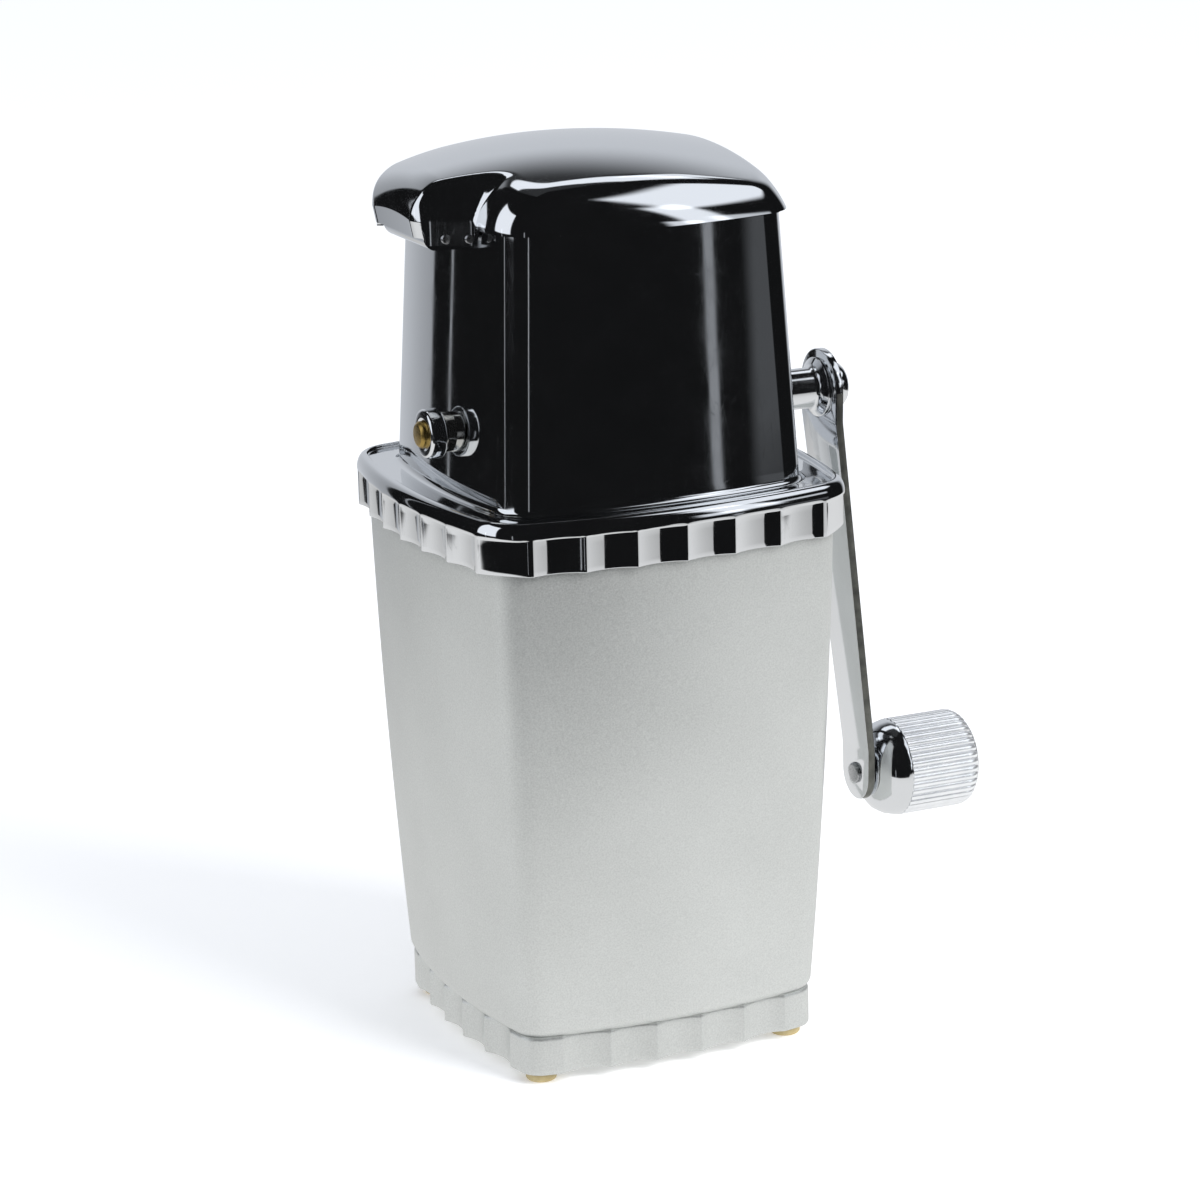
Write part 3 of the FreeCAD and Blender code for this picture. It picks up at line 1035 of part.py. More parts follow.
def lid_blank(label, inset, below):
    """Solid inside the lid's sides: the rounded square, drawn in level by level, and the nose."""
    body = new_body(label)
    levels = [
        (f"{LID_RIM} - {below}", LID_HALF),
        (f"{LID_RIM} + Sizes.lidShoulderRise", f"{LID_HALF} - Sizes.lidShoulderInset"),
        (f"{LID_RIM} + Sizes.lidBrowRise", f"{LID_HALF} - Sizes.lidBrowInset"),
        (f"{CROWN_TOP} + Sizes.lidWall", f"{LID_HALF} - 3 * Sizes.lidBrowInset"),
    ]
    sides = [square_sketch(body, f"side_{i}", level, f"{half} - {inset}",
                           f"Sizes.lidBulge - {inset}", f"Sizes.lidCorner - {inset}")
             for i, (level, half) in enumerate(levels)]
    loft(body, sides, "sides")
    band_top = f"({NOSE_BOTTOM} + Sizes.noseBand)"
    nose_top = f"({LID_RIM} + Sizes.noseRise)"
    nose_levels = [
        (NOSE_BOTTOM, "0", "Sizes.noseCorner"),
        (band_top, "0", "Sizes.noseCorner"),
        (nose_top, f"Sizes.noseLean * ({nose_top} - {band_top})", "Sizes.noseTopCorner"),
    ]
    for i in range(2):
        pair = []
        for j, (level, slope, corner_radius) in enumerate(nose_levels[i:i + 2]):
            outline = sketch_on(body, f"nose_{i}_{j}", "XY_Plane", level)
            end_half = f"(Sizes.noseEndHalf - ({slope}) - {inset})"
            root_half = f"(Sizes.noseRootHalf - ({slope}) - {inset})"
            end = f"({inset} - {NOSE_END})"
            corner = f"({corner_radius} * (1 - {inset} / Sizes.noseCorner))"
            rounded_outline(outline, [
                (f"-{NOSE_ROOT}", root_half, ""), (end, end_half, corner),
                (end, f"-{end_half}", corner), (f"-{NOSE_ROOT}", f"-{root_half}", "")])
            pair.append(outline)
        loft(body, pair, f"nose_part_{i}")
    return body


def common(label, first, second):
    shared = doc.addObject("Part::Common", label)
    shared.Base = first
    shared.Tool = second
    return shared


def pin_half(reach):
    """Half length of a pin through the nose at a distance from the middle."""
    widening = ("((Sizes.noseRootHalf - Sizes.noseEndHalf)"
                f" / ({NOSE_END} - {NOSE_ROOT}))")
    return f"(Sizes.noseEndHalf + ({NOSE_END} - {reach}) * {widening} + Sizes.pinStandout)"


def pin_cylinder(label, reach, height, radius, half):
    """A round pin or its hole, lying along Y."""
    pin = doc.addObject("Part::Cylinder", label)
    pin.setExpression("Radius", radius)
    pin.setExpression("Height", f"2 * {half}")
    pin.Placement.Rotation = FreeCAD.Rotation(FreeCAD.Vector(1, 0, 0), 90)
    pin.setExpression("Placement.Base.x", f"-{reach}")
    pin.setExpression("Placement.Base.y", half)
    pin.setExpression("Placement.Base.z", height)
    return pin


def make_lid():
    """Chromed lid: a crowned shell whose nose reaches over the ear and carries two cross pins."""
    outside = common("lid_outside", lid_blank("lid_sides", "0", "0"), crown_blank("lid_crown", "0"))
    inside = common("lid_inside", lid_blank("lid_hollow_sides", "Sizes.lidWall", "2 * Sizes.noseDrop"),
                    crown_blank("lid_hollow_crown", "Sizes.lidWall"))
    shell = doc.addObject("Part::Cut", "lid_shell")
    shell.Base = outside
    shell.Tool = inside
    holes = doc.addObject("Part::MultiFuse", "lid_pin_holes")
    holes.Shapes = [
        pin_cylinder("hinge_pin_hole", HINGE_X, HINGE,
                     "Sizes.hingePinRadius + Sizes.seatFit", LID_HALF),
        pin_cylinder("rest_pin_hole", REST_X, HINGE,
                     "Sizes.restPinRadius + Sizes.seatFit", LID_HALF)]
    lid = doc.addObject("Part::Cut", "lid")
    lid.Label = "lid"
    lid.Base = shell
    lid.Tool = holes
    doc.recompute()
    return lid


def make_pins():
    hinge = pin_cylinder("lid_hinge_pin", HINGE_X, HINGE, "Sizes.hingePinRadius",
                         pin_half(HINGE_X))
    rest = pin_cylinder("lid_rest_pin", REST_X, HINGE, "Sizes.restPinRadius",
                        pin_half(REST_X))
    return [hinge, rest]


# ---------------------------------------------------------------- the whole crusher
pieces = [
    make_ice_tub(),
    make_rubber_feet(),
    make_upper_housing(),
    make_hopper_frame(),
    make_frame_screws(),
    make_comb("front_comb", THROAT_FRONT, 1),
    make_comb("back_comb", "Sizes.throatBack", -1),
    make_comb_screws(),
    make_rotor_shaft(),
    make_rotor_spacers(),
    make_bush("left_bush", -1),
    make_bush("right_bush", 1),
    make_shaft_cap(),
    make_crank_hub(),
    make_crank_arm(),
    make_washer(),
    make_crank_cap_nut(),
    make_knob_spindle(),
    make_crank_knob(),
    make_knob_end_plug(),
    make_lid(),
]
pieces += make_pins()
pieces += [make_rotor_blade(i) for i in range(int(number("Sizes.bladeCount")))]
doc.recompute()

# ---------------------------------------------------------------- checks and files
for item in doc.Objects:
    faults = [state for state in item.State if state in ("Invalid", "Error")]
    if faults:
        raise RuntimeError(f"{item.Label} is {faults}")
for piece in pieces:
    if piece.Shape.isNull() or not piece.Shape.isValid() or not piece.Shape.Solids:
        raise RuntimeError(f"{piece.Label} has no sound solid")

os.makedirs("parts", exist_ok=True)
for piece in pieces:
    piece.Shape.exportStep(f"parts/{piece.Label}.step")
    box = piece.Shape.BoundBox
    print(f"{piece.Label}: {len(piece.Shape.Solids)} solids, {piece.Shape.Volume:.0f} mm3, "
          f"x {box.XMin:.1f}..{box.XMax:.1f}, y {box.YMin:.1f}..{box.YMax:.1f}, z {box.ZMin:.1f}..{box.ZMax:.1f}")
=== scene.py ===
# %% [markdown]
# # A hand crank ice crusher
# The object is a square tub of silver lacquered plastic with a chromed die casting on top.
# Its housing, lid, crank and knob are mirrors, so their look is made by smooth curved
# surfaces and by what stands round them, far more than by any colour.
# The CAD model gives every size, and this script dresses it in the same frame, in metres.

# %% Load the fixed frame
import math
import bmesh
import bpy
import numpy as np
from mathutils import Matrix, Vector


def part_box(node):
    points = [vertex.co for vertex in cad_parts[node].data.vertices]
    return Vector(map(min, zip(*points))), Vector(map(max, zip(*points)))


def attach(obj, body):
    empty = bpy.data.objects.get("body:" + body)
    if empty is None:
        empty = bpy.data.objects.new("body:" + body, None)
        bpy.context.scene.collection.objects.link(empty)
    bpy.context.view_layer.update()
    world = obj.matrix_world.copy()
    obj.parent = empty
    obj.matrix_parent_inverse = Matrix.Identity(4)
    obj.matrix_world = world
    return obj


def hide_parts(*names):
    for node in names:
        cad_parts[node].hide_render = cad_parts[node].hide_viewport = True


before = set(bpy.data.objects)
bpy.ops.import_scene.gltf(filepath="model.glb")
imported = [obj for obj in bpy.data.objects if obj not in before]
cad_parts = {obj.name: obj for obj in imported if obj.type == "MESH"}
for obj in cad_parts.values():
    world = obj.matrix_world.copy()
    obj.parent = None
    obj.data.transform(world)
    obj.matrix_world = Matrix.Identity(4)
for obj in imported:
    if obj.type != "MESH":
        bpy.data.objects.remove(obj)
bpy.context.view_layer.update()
MM = 0.001


# %% Put things in the scene, and read sizes
def put(name, data):
    """A new object in the scene."""
    item = bpy.data.objects.new(name, data)
    bpy.context.scene.collection.objects.link(item)
    return item


def cad_range(node, axis):
    """Lowest and highest place of a CAD node along an axis, in millimetres."""
    low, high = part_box(node)
    return low[axis] / MM, high[axis] / MM


print("the tub stands from", *(round(v, 1) for v in cad_range("ice_tub", 2)), "mm")

# %% [markdown]
# ## Camera
# The view is a long lens from the front left, a little above the lid. A camera could be
# aimed by a Track To constraint, but that keeps it level, and a hand-held one seldom is.
# So it is made by hand from its three axes: right, up and backwards.

# %% Make the camera
def make_camera(place_mm, yaw, pitch, roll, lens):
    """A camera that looks along yaw (from +Y towards +X) and down by pitch, in degrees."""
    yaw, pitch, roll = (math.radians(a) for a in (yaw, pitch, roll))
    ahead = Vector((math.sin(yaw) * math.cos(pitch), math.cos(yaw) * math.cos(pitch), -math.sin(pitch)))
    level = Vector((math.cos(yaw), -math.sin(yaw), 0))
    upright = level.cross(ahead)
    right = level * math.cos(roll) + upright * math.sin(roll)
    up = upright * math.cos(roll) - level * math.sin(roll)
    camera = put("camera", bpy.data.cameras.new("camera"))
    camera.data.lens = lens
    camera.data.clip_end = 20
    rows = [[right[i], up[i], -ahead[i], place_mm[i] * MM] for i in range(3)]
    camera.matrix_world = Matrix(rows + [[0, 0, 0, 1]])
    return camera


bpy.context.scene.camera = make_camera((-448.0, -1011.1, 430.2), 23.906, 15.396, -1.360, 120.0)
bpy.context.scene.view_settings.view_transform = "Standard"
print("camera ready")

# %% [markdown]
# ## Nodes and colours
# Every look below is a small graph. Nodes could be added one line at a time, but then a
# graph of ten nodes hides its own meaning. So one function adds a node, sets it and links
# it, and the calls are nested as the graph is. Another turns an sRGB hex colour into the
# linear numbers that Blender mixes with.

# %% Helpers for graphs and colours
RANGE, MIX, COORDINATE = "ShaderNodeMapRange", "ShaderNodeMix", "ShaderNodeTexCoord"
SMOOTH = {"interpolation_type": "SMOOTHSTEP"}  # a range whose ends turn softly; high before low reverses it


def add(tree, kind, *inputs, **settings):
    """Add a node. Inputs come in order, or as a dictionary by name; a node stands for its first output.

    A kind in small letters, such as "multiply", is an operation of a Math node.
    """
    if kind.islower():
        kind, settings = "ShaderNodeMath", {"operation": kind.upper()}
    item = tree.nodes.new(kind)
    for name, value in settings.items():
        setattr(item, name, value)
    sockets = inputs[0] if inputs and isinstance(inputs[0], dict) else dict(enumerate(inputs))
    for key, value in sockets.items():
        if isinstance(value, bpy.types.Node):
            value = next(output for output in value.outputs if output.enabled)
        if isinstance(value, bpy.types.NodeSocket):
            tree.links.new(value, item.inputs[key])
        else:
            item.inputs[key].default_value = value
    return item


def linear(hex_colour):
    """sRGB hex, such as C8CAC8, to linear RGBA."""
    out = []
    for i in (0, 2, 4):
        part = int(hex_colour[i:i + 2], 16) / 255
        out.append(part / 12.92 if part <= 0.04045 else ((part + 0.055) / 1.055) ** 2.4)
    return (*out, 1.0)


def new_look(name):
    look = bpy.data.materials.new(name)
    look.use_nodes = True
    look.node_tree.nodes.clear()
    return look, look.node_tree


print("pale grey C8CAC8 is", [round(v, 3) for v in linear("C8CAC8")])

# %% [markdown]
# ## Studio
# Chrome has hardly a colour of its own: it shows the room. A picture of a room could be
# wrapped round the object, but it would bring its own light and colour. So the room is
# drawn: a paper sweep behind the object, softboxes overhead and in front, a few narrow
# gaps of light, and darkness between them. That gives a mirror its long highlights and its
# black fields. Light Path keeps this room apart from what the camera sees directly, which
# is white, and from the even light that falls on rough surfaces.

# %% Windows of light in a dark room
def window(tree, value, middle, half, soft):
    """1 within half of the middle, fading to 0 over soft."""
    away = add(tree, "absolute", add(tree, "subtract", value, middle))
    return add(tree, RANGE, away, half + soft, half, **SMOOTH)


def patches(tree, across, up, windows, start):
    """Add soft-edged windows, each (middle, half, soft) across and up with a brightness, to a start."""
    total = start
    for span, rise, level in windows:
        patch = add(tree, "multiply", window(tree, across, *span), window(tree, up, *rise))
        total = add(tree, "multiply_add", patch, level, total)
    return total


# Degrees round from +Y towards +X, then degrees up, then brightness
WINDOWS = [
    ((118, 22, 6), (48, 10, 5), 1.1),             # softboxes on the right, one above the other
    ((143, 4, 3), (25, 14, 6), 1.1),
    ((149, 2.5, 3), (9, 4, 3), 0.9),
    ((132, 6, 5), (17, 2, 3), 0.7),
    ((24, 36, 4), (56.5, 5.5, 2), 1.1),           # long softbox over the sweep
    ((48, 5, 3), (47.5, 5, 2), 1.0),
    ((-78, 24, 3), (23, 24, 2), 1.1),             # window on the left
    ((146.3, 0.7, 0.5), (-6, 3, 1.5), 0.30),      # streaks down the near face
    ((131, 6, 3), (-5, 2.5, 1.5), 0.08),
    ((-27.6, 0.25, 0.25), (-4, 24, 5), 0.35),     # thin streaks on the left face and the corner
    ((-77, 0.5, 0.4), (-8, 14, 4), 0.50),
    ((-142, 0.8, 0.6), (-8, 12, 3), 0.40),
]
ROOM_DARK = 0.008  # what a mirror shows between the windows
print("the room has", len(WINDOWS), "windows")


# %% Draw the room
def make_world():
    world = bpy.data.worlds.new("studio")
    world.use_nodes = True
    bpy.context.scene.world = world
    tree = world.node_tree
    tree.nodes.clear()
    x, y, z = add(tree, "ShaderNodeSeparateXYZ", add(tree, COORDINATE).outputs["Generated"]).outputs
    turn = add(tree, "degrees", add(tree, "arctan2", x, y))
    height = add(tree, "degrees", add(tree, "arcsine", z))

    # The sweep has a crisp left end and a soft right one, and is brightest low down on the right
    sweep = add(tree, RANGE, height, 24, 48, 0.70, 0.03, **SMOOTH)
    for start, end, darkest in ((-20.3, -19.3, 0.0), (68, 50, 0.0), (-26, 6, 0.5)):
        share = add(tree, RANGE, turn, start, end, darkest, 1.0, **SMOOTH)
        sweep = add(tree, "multiply", sweep, share)
    seen = add(tree, "add", patches(tree, turn, height, WINDOWS, sweep), ROOM_DARK)

    rays = add(tree, "ShaderNodeLightPath").outputs
    even = add(tree, "multiply_add", z, 0.10, 0.69)
    indirect = add(tree, MIX, {0: rays["Is Glossy Ray"], 2: even, 3: seen})
    strength = add(tree, MIX, {0: rays["Is Camera Ray"], 2: indirect, 3: 1.0})
    tint = add(tree, MIX, {0: rays["Is Camera Ray"], 6: linear("F1F5FC"), 7: linear("FFFFFF")}, data_type="RGBA")
    add(tree, "ShaderNodeOutputWorld", add(tree, "ShaderNodeBackground", tint, strength))


make_world()
print("room drawn")

# %% [markdown]
# The tub is rough, so it needs only plain light: one large lamp in front on the right,
# which leaves its left side a little darker. Mirrors don't show the lamp, because they have
# the windows. The floor is white paint with a faint glow, so that it meets the white
# background and still keeps the object's shadow. A mirror sees it as a sheet of paper that
# ends in the dark, which is what makes the near flutes black and white by turns.

# %% Hang the lamp
def hang_key_lamp(place_mm, aim_mm, size_mm, watts):
    lamp = put("key", bpy.data.lights.new("key", "AREA"))
    lamp.data.size = size_mm * MM
    lamp.data.energy = watts
    place = Vector(place_mm) * MM
    lamp.matrix_world = (Vector(aim_mm) * MM - place).to_track_quat("-Z", "Y").to_matrix().to_4x4()
    lamp.matrix_world.translation = place
    lamp.visible_glossy = False


KEY_WATTS = 25
hang_key_lamp((700, -1300, 1100), (0, 0, 120), 900, KEY_WATTS)
print("key lamp:", KEY_WATTS, "W")


# %% Lay the floor
FLOOR_REACH = 6.0  # metres from the middle to each edge


def make_floor():
    mesh = bpy.data.meshes.new("floor")
    mesh.from_pydata([(x * FLOOR_REACH, y * FLOOR_REACH, 0) for x, y in ((-1, -1), (1, -1), (1, 1), (-1, 1))], [],
                     [(0, 1, 2, 3)])
    floor = put("floor", mesh)
    look, tree = new_look("pale_floor")

    # Metres; the paper's near edge is cut aslant on both sides of the object
    across, along, _ = add(tree, "ShaderNodeSeparateXYZ", add(tree, COORDINATE).outputs["Object"]).outputs
    sides = window(tree, add(tree, "multiply_add", along, -0.12, across), 0, 0.65, 0.03)
    ends = window(tree, along, -0.06, 0.61, 0.03)
    right, left = (add(tree, RANGE, add(tree, "multiply_add", across, aslant, along), low, high,
                       **SMOOTH) for aslant, low, high in ((2.47, -0.07, -0.04), (0.25, -0.32, -0.28)))
    near_edge = add(tree, "maximum", right, left)
    paper = add(tree, "multiply", sides, add(tree, "multiply", near_edge, ends))
    away = add(tree, "absolute", along)
    lit_paper = add(tree, "ShaderNodeEmission", {"Strength": add(tree, RANGE, away, 0.9, 0.1, 0.40, 0.85, **SMOOTH)})

    white = add(tree, "ShaderNodeAddShader", add(tree, "ShaderNodeBsdfDiffuse", linear("FFFFFF")),
                add(tree, "ShaderNodeEmission", {"Strength": 0.27}))
    mirrored = add(tree, "ShaderNodeMixShader", paper, add(tree, "ShaderNodeBsdfTransparent"), lit_paper)
    rays = add(tree, "ShaderNodeLightPath").outputs
    add(tree, "ShaderNodeOutputMaterial", add(tree, "ShaderNodeMixShader", rays["Is Glossy Ray"], white, mirrored))
    mesh.materials.append(look)


make_floor()
print("floor and lamp ready")

# %% [markdown]
# ## Materials
# A real surface is never the same all over. Each material starts from what the real one
# is and how it was finished, and gets a pattern of soft spots whose size is known in
# millimetres, laid on Object coordinates so that it stays on the piece when the piece moves.

# %% Soft spots of a real size, and the surface they change
def spots(tree, size_mm, detail, stretch=(1, 1, 1)):
    """A pattern from 0 to 1, mostly 0.3 to 0.7, whose spots are about size_mm wide."""
    placed = add(tree, "ShaderNodeMapping", {"Vector": add(tree, COORDINATE).outputs["Object"], "Scale": stretch})
    return add(tree, "ShaderNodeTexNoise", {"Vector": placed, "Scale": 1 / (size_mm * MM), "Detail": detail})


def cover(tree, colour, metallic, roughness, relief, depth_mm):
    """Lead a colour, a roughness and a relief of some depth to the surface."""
    add(tree, "ShaderNodeOutputMaterial", add(tree, "ShaderNodeBsdfPrincipled", {
        "Base Color": colour, "Metallic": metallic, "Roughness": roughness,
        "Normal": add(tree, "ShaderNodeBump", {"Height": relief, "Distance": depth_mm * MM})}))


print("spots of 9 mm have the scale", round(1 / (9 * MM), 1))

# %% [markdown]
# **Chrome plate** on polished metal is a mirror. To the eye its age shows as a faint haze
# that changes over about 9 mm, as fine scratches that run one way where it was wiped, and
# as a very slight waviness left by buffing, about 30 mm long. A smooth mirror without these
# looks like a drawing, and a bump map of dents would look like foil.

# %% Chrome plate
def chrome_material(name, colour, roughness, waviness_mm):
    look, tree = new_look(name)
    haze = add(tree, RANGE, spots(tree, 9, 4), 0.3, 0.7, roughness * 0.7, roughness * 1.5)
    placed = add(tree, "ShaderNodeMapping", {"Vector": add(tree, COORDINATE).outputs["Object"],
                                             "Rotation": (0.4, 0.7, 0.3), "Scale": (1, 1, 0.12)})
    lines = add(tree, "ShaderNodeTexVoronoi", {"Vector": placed, "Scale": 1 / (1.6 * MM)},
                feature="DISTANCE_TO_EDGE")
    worn = add(tree, RANGE, lines.outputs["Distance"], 0.02, 0.0, **SMOOTH)
    hazed = add(tree, "multiply_add", worn, roughness, haze)
    cover(tree, linear(colour), 1.0, hazed, spots(tree, 30, 1), waviness_mm)
    return look


chrome_plate = chrome_material("chrome_plate_on_casting", "E4E6E8", 0.05, 0.06)
chrome_steel = chrome_material("chrome_plate_on_steel", "E6E8EA", 0.08, 0.02)
print("chrome:", chrome_plate.name, chrome_steel.name)

# %% [markdown]
# **Silver lacquer** on moulded plastic is a clear binder full of aluminium flakes. Part of
# the light comes back from the flakes as from a metal and part from the binder, so it is
# satin and mostly metallic. Real flakes are about 0.05 mm and wouldn't show at this
# distance, so the grain is drawn at 0.45 mm, and a cloud of 40 mm stands for uneven spray.

# %% Silver lacquer
def lacquer_material():
    look, tree = new_look("silver_lacquer")
    grain = spots(tree, 0.45, 1)
    cloud = add(tree, "multiply", spots(tree, 40, 3), 0.3)
    tone = add(tree, RANGE, add(tree, "multiply_add", grain, 0.7, cloud), 0.3, 0.7)
    colour = add(tree, MIX, {0: tone, 6: linear("CBCDCA"), 7: linear("E2E4E1")}, data_type="RGBA")
    cover(tree, colour, 0.75, add(tree, RANGE, grain, 0.3, 0.7, 0.36, 0.50), grain, 0.03)
    return look


silver_lacquer = lacquer_material()
print("lacquer:", silver_lacquer.name)

# %% [markdown]
# **Other metals and rubber** differ in tint, in haze and in the direction of their grain,
# so one function makes them all. It mixes two close tints over 6 mm, as plating and
# handling leave them, and lets the grain change both the roughness and the relief.

# %% Steels and rubber
def worked_material(name, tints, roughness, grain, depth_mm, metallic=1.0, cloud=(6, 3)):
    """Grain is (size in mm, detail, stretch); roughness is a number, or its ends where the grain changes it."""
    look, tree = new_look(name)
    pattern = spots(tree, *grain)
    tone = add(tree, RANGE, spots(tree, *cloud), 0.3, 0.7)
    colour = add(tree, MIX, {0: tone, 6: linear(tints[0]), 7: linear(tints[1])}, data_type="RGBA")
    rough = add(tree, RANGE, pattern, 0.3, 0.7, *roughness) if isinstance(roughness, tuple) else roughness
    cover(tree, colour, metallic, rough, pattern, depth_mm)
    return look


# Sheet steel, punched and pressed: satin, with a grain drawn out along its height
pressed_steel = worked_material("pressed_steel", ("B4B6B8", "C6C8CA"), (0.21, 0.364), (0.5, 3, (1, 1, 0.1)), 0.01)
# Stainless steel, tumbled after punching: an even soft shine with no direction
tumbled_steel = worked_material("tumbled_stainless_steel", ("BEC0C2", "D0D1D2"), (0.18, 0.312), (0.35, 3), 0.015)
# Zinc plate on steel screws: greyer and duller than the chrome beside it
zinc_screws = worked_material("zinc_plated_screws", ("A9ABAE", "C0C2C4"), (0.2475, 0.429), (0.3, 3), 0.01)
# Cold drawn bar: fine lines that run along the pin
drawn_steel = worked_material("drawn_steel", ("A8A9AB", "BDBEC0"), (0.225, 0.39), (0.25, 3, (1, 0.1, 1)), 0.01)
# Turned steel with a yellow passivation: a brassy end with rings left by the tool
passivated_steel = worked_material("yellow_passivated_steel", ("A58A4A", "BFA567"), (0.24, 0.416),
                                   (0.25, 3, (1, 0.2, 0.2)), 0.01)
# Nickel plate on a turned bush: warmer than chrome, and a little softer
nickel = worked_material("nickel_plate", ("C8C7C2", "DAD9D4"), (0.075, 0.13), (0.4, 3), 0.008)
# Chrome on the knob's reeds with a painted sheen: a near-white colour and less metal make them bright from every
# side, so less of a mirror
chrome_reeds_painted_sheen = worked_material("chrome_on_reeds_painted_sheen", ("ECEEF0", "F6F7F8"), (0.1275, 0.221),
                               (0.6, 3, (0.2, 1, 1)), 0.004, 0.74)
# The arm's edge as the shears left it, rough under a thin plate: it stays dark
sheared_edge = worked_material("sheared_steel_edge", ("5E605C", "8B8C86"), (0.315, 0.546), (0.5, 3), 0.03)
# Moulded rubber, yellowed by age: matt, with no metal in it
rubber = worked_material("yellowed_rubber", ("B9A677", "CDBC8E"), 0.7, (0.6, 2), 0.04, 0.0, (3, 4))
print("materials:", ", ".join(m.name for m in bpy.data.materials))

# %% [markdown]
# ## Square outlines with bulged sides
# Tub, collar, tower and lid are all squares whose sides bulge a little, as castings and
# mouldings do so that they don't look hollow. Each outline is four long arcs and four
# corner arcs that meet them smoothly. A subdivided box or a boolean would disturb the
# smooth run of a mirror, so a shell is a stack of outlines joined by faces: every ring has
# its points at the same places, and the highlights run straight.

# %% One outline
CORNER_STEPS = 18


def square_arcs(half, bulge, corner):
    """Side-circle offset, corner-circle place and half angle of a side."""
    offset = bulge - half
    reach = bulge - corner
    corner_at = (math.sqrt(2 * reach ** 2 - offset ** 2) - offset) / 2
    return offset, corner_at, math.asin(corner_at / reach)


def outline(half, bulge, corner, level, inset, places, hollow=None, corner_hollow=0.0):
    """Points round the outline at a level, anticlockwise from the near side.

    Places run from -1 to 1 along a side; hollow gives a flute's depth at an angle.
    """
    offset, corner_at, spread_angle = square_arcs(half, bulge, corner)
    side = spread_angle * places
    radius = bulge - inset - (hollow(side) if hollow else 0.0)
    turn = np.linspace(spread_angle, math.pi / 2 - spread_angle, CORNER_STEPS + 1)[1:-1]
    corner_radius = corner - inset - corner_hollow * (1 - ((turn - math.pi / 4) / (math.pi / 4 - spread_angle)) ** 2)

    def along(radius, angle, distance, towards):
        return np.stack([radius * np.cos(angle) + distance * math.cos(towards),
                         radius * np.sin(angle) + distance * math.sin(towards)], -1)

    arcs = []
    for facing in np.radians([-90, 0, 90, 180]):
        arcs += [along(radius, side + facing, -offset, facing),
                 along(corner_radius, turn + facing, math.sqrt(2) * corner_at, facing + math.pi / 4)]
    flat = np.concatenate(arcs)
    return np.column_stack([flat, np.full(len(flat), level)])


print("points in a plain outline:", len(outline(60, 205, 7, 0, 0, np.linspace(-1, 1, 31))))

# %% [markdown]
# A flute is a round hollow down the side, as a ball-nosed cutter left it in the mould. Two
# neighbours meet in a ridge. Separate cutters taken away by booleans would leave ragged
# rings, so the depth is worked out at every point instead. Plating rounds the ridges off,
# so the depth is averaged over 0.6 mm, and points lie closer together at a ridge.

# %% Flutes
def flutes(count, pitch, depth, bulge, spread_angle):
    """Places along a side, closer at the ridges, and the depth of the hollows at an angle."""
    step = pitch / bulge
    chord = bulge * math.sin(step / 2)
    cutter = chord ** 2 / (2 * depth) + depth / 2
    middle = bulge * math.cos(step / 2) + cutter - depth
    centres = (np.arange(count) - (count - 1) / 2) * step

    def raw(angle):
        away = angle[:, None] - centres[None, :]
        inside = cutter ** 2 - (middle * np.sin(away)) ** 2
        wall = np.where(inside > 0, middle * np.cos(away) - np.sqrt(np.maximum(inside, 0)), bulge)
        return np.maximum(bulge - wall.min(1), 0)

    def hollow(angle):
        shifts = np.linspace(-0.3, 0.3, 7) / bulge
        return sum(raw(angle + shift) for shift in shifts) / len(shifts)

    ridges = (np.arange(count + 1) - count / 2) * step
    dense = (1 - np.cos(np.linspace(0, math.pi, 22))) / 2
    places = [np.linspace(-spread_angle, ridges[0], 8)[:-1], *(ridge + step * dense[:-1] for ridge in ridges[:-1]),
              np.linspace(ridges[-1], spread_angle, 8)]
    return np.concatenate(places) / spread_angle, hollow


print("points in one fluted side:", len(flutes(6, 14.7, 1.7, 210.0, 0.25)[0]))

# %% [markdown]
# ## From points to pieces
# Every piece is made the same way: points in millimetres and faces become a mesh, doubled
# points are merged, and each closed shell is turned to face outwards. Faces are shaded
# smooth, with a crisp edge only where they turn by a large angle. Then the piece is told
# which body it rides on, and the CAD nodes that it replaces are hidden.

# %% A mesh from points and faces
def new_piece(name, points_mm, faces, body, look, slot, replaces, sharp=40):
    """A piece with its place in its mesh; edges that turn more than sharp degrees stay crisp."""
    mesh = bpy.data.meshes.new(name)
    mesh.from_pydata([tuple(p) for p in np.asarray(points_mm) * MM], [], faces)
    tidy = bmesh.new()
    tidy.from_mesh(mesh)
    bmesh.ops.remove_doubles(tidy, verts=tidy.verts, dist=1e-6)
    bmesh.ops.recalc_face_normals(tidy, faces=tidy.faces)
    tidy.to_mesh(mesh)
    tidy.free()
    return place_piece(name, mesh, body, look, replaces, sharp)


def place_piece(name, mesh, body, look, replaces, sharp):
    mesh.shade_smooth()
    mesh.set_sharp_from_angle(angle=math.radians(sharp))
    mesh.materials.clear()
    mesh.materials.append(look)
    piece = put(name, mesh)
    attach(piece, body)
    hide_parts(*replaces)
    print(f"{name}: {len(mesh.polygons)} faces")
    return piece


def second_look(piece, look, chosen):
    """Give another material to the faces for which chosen(centre in mm, normal) is true."""
    piece.data.materials.append(look)
    for face in piece.data.polygons:
        if chosen(face.center / MM, face.normal):
            face.material_index = 1


# %% [markdown]
# Three ways of making points cover nearly everything here: rings joined by faces, a
# section turned about an axis, and a section drawn out. Blender's own Spin and Extrude do
# the same, but these return plain lists, which can be joined before the mesh is made.

# %% Rings, turned sections and drawn out sections
def ring_faces(count, around, closed=False):
    """Faces between rings of points; a closed stack joins the last ring to the first."""
    faces = []
    for i in range(count if closed else count - 1):
        low = i * around
        high = ((i + 1) % count) * around
        for j in range(around):
            k = (j + 1) % around
            faces.append((low + j, low + k, high + k, high + j))
    return faces


def skin(stack, closed=False):
    """Points and faces of a stack of rings."""
    return np.concatenate(stack), ring_faces(len(stack), len(stack[0]), closed)


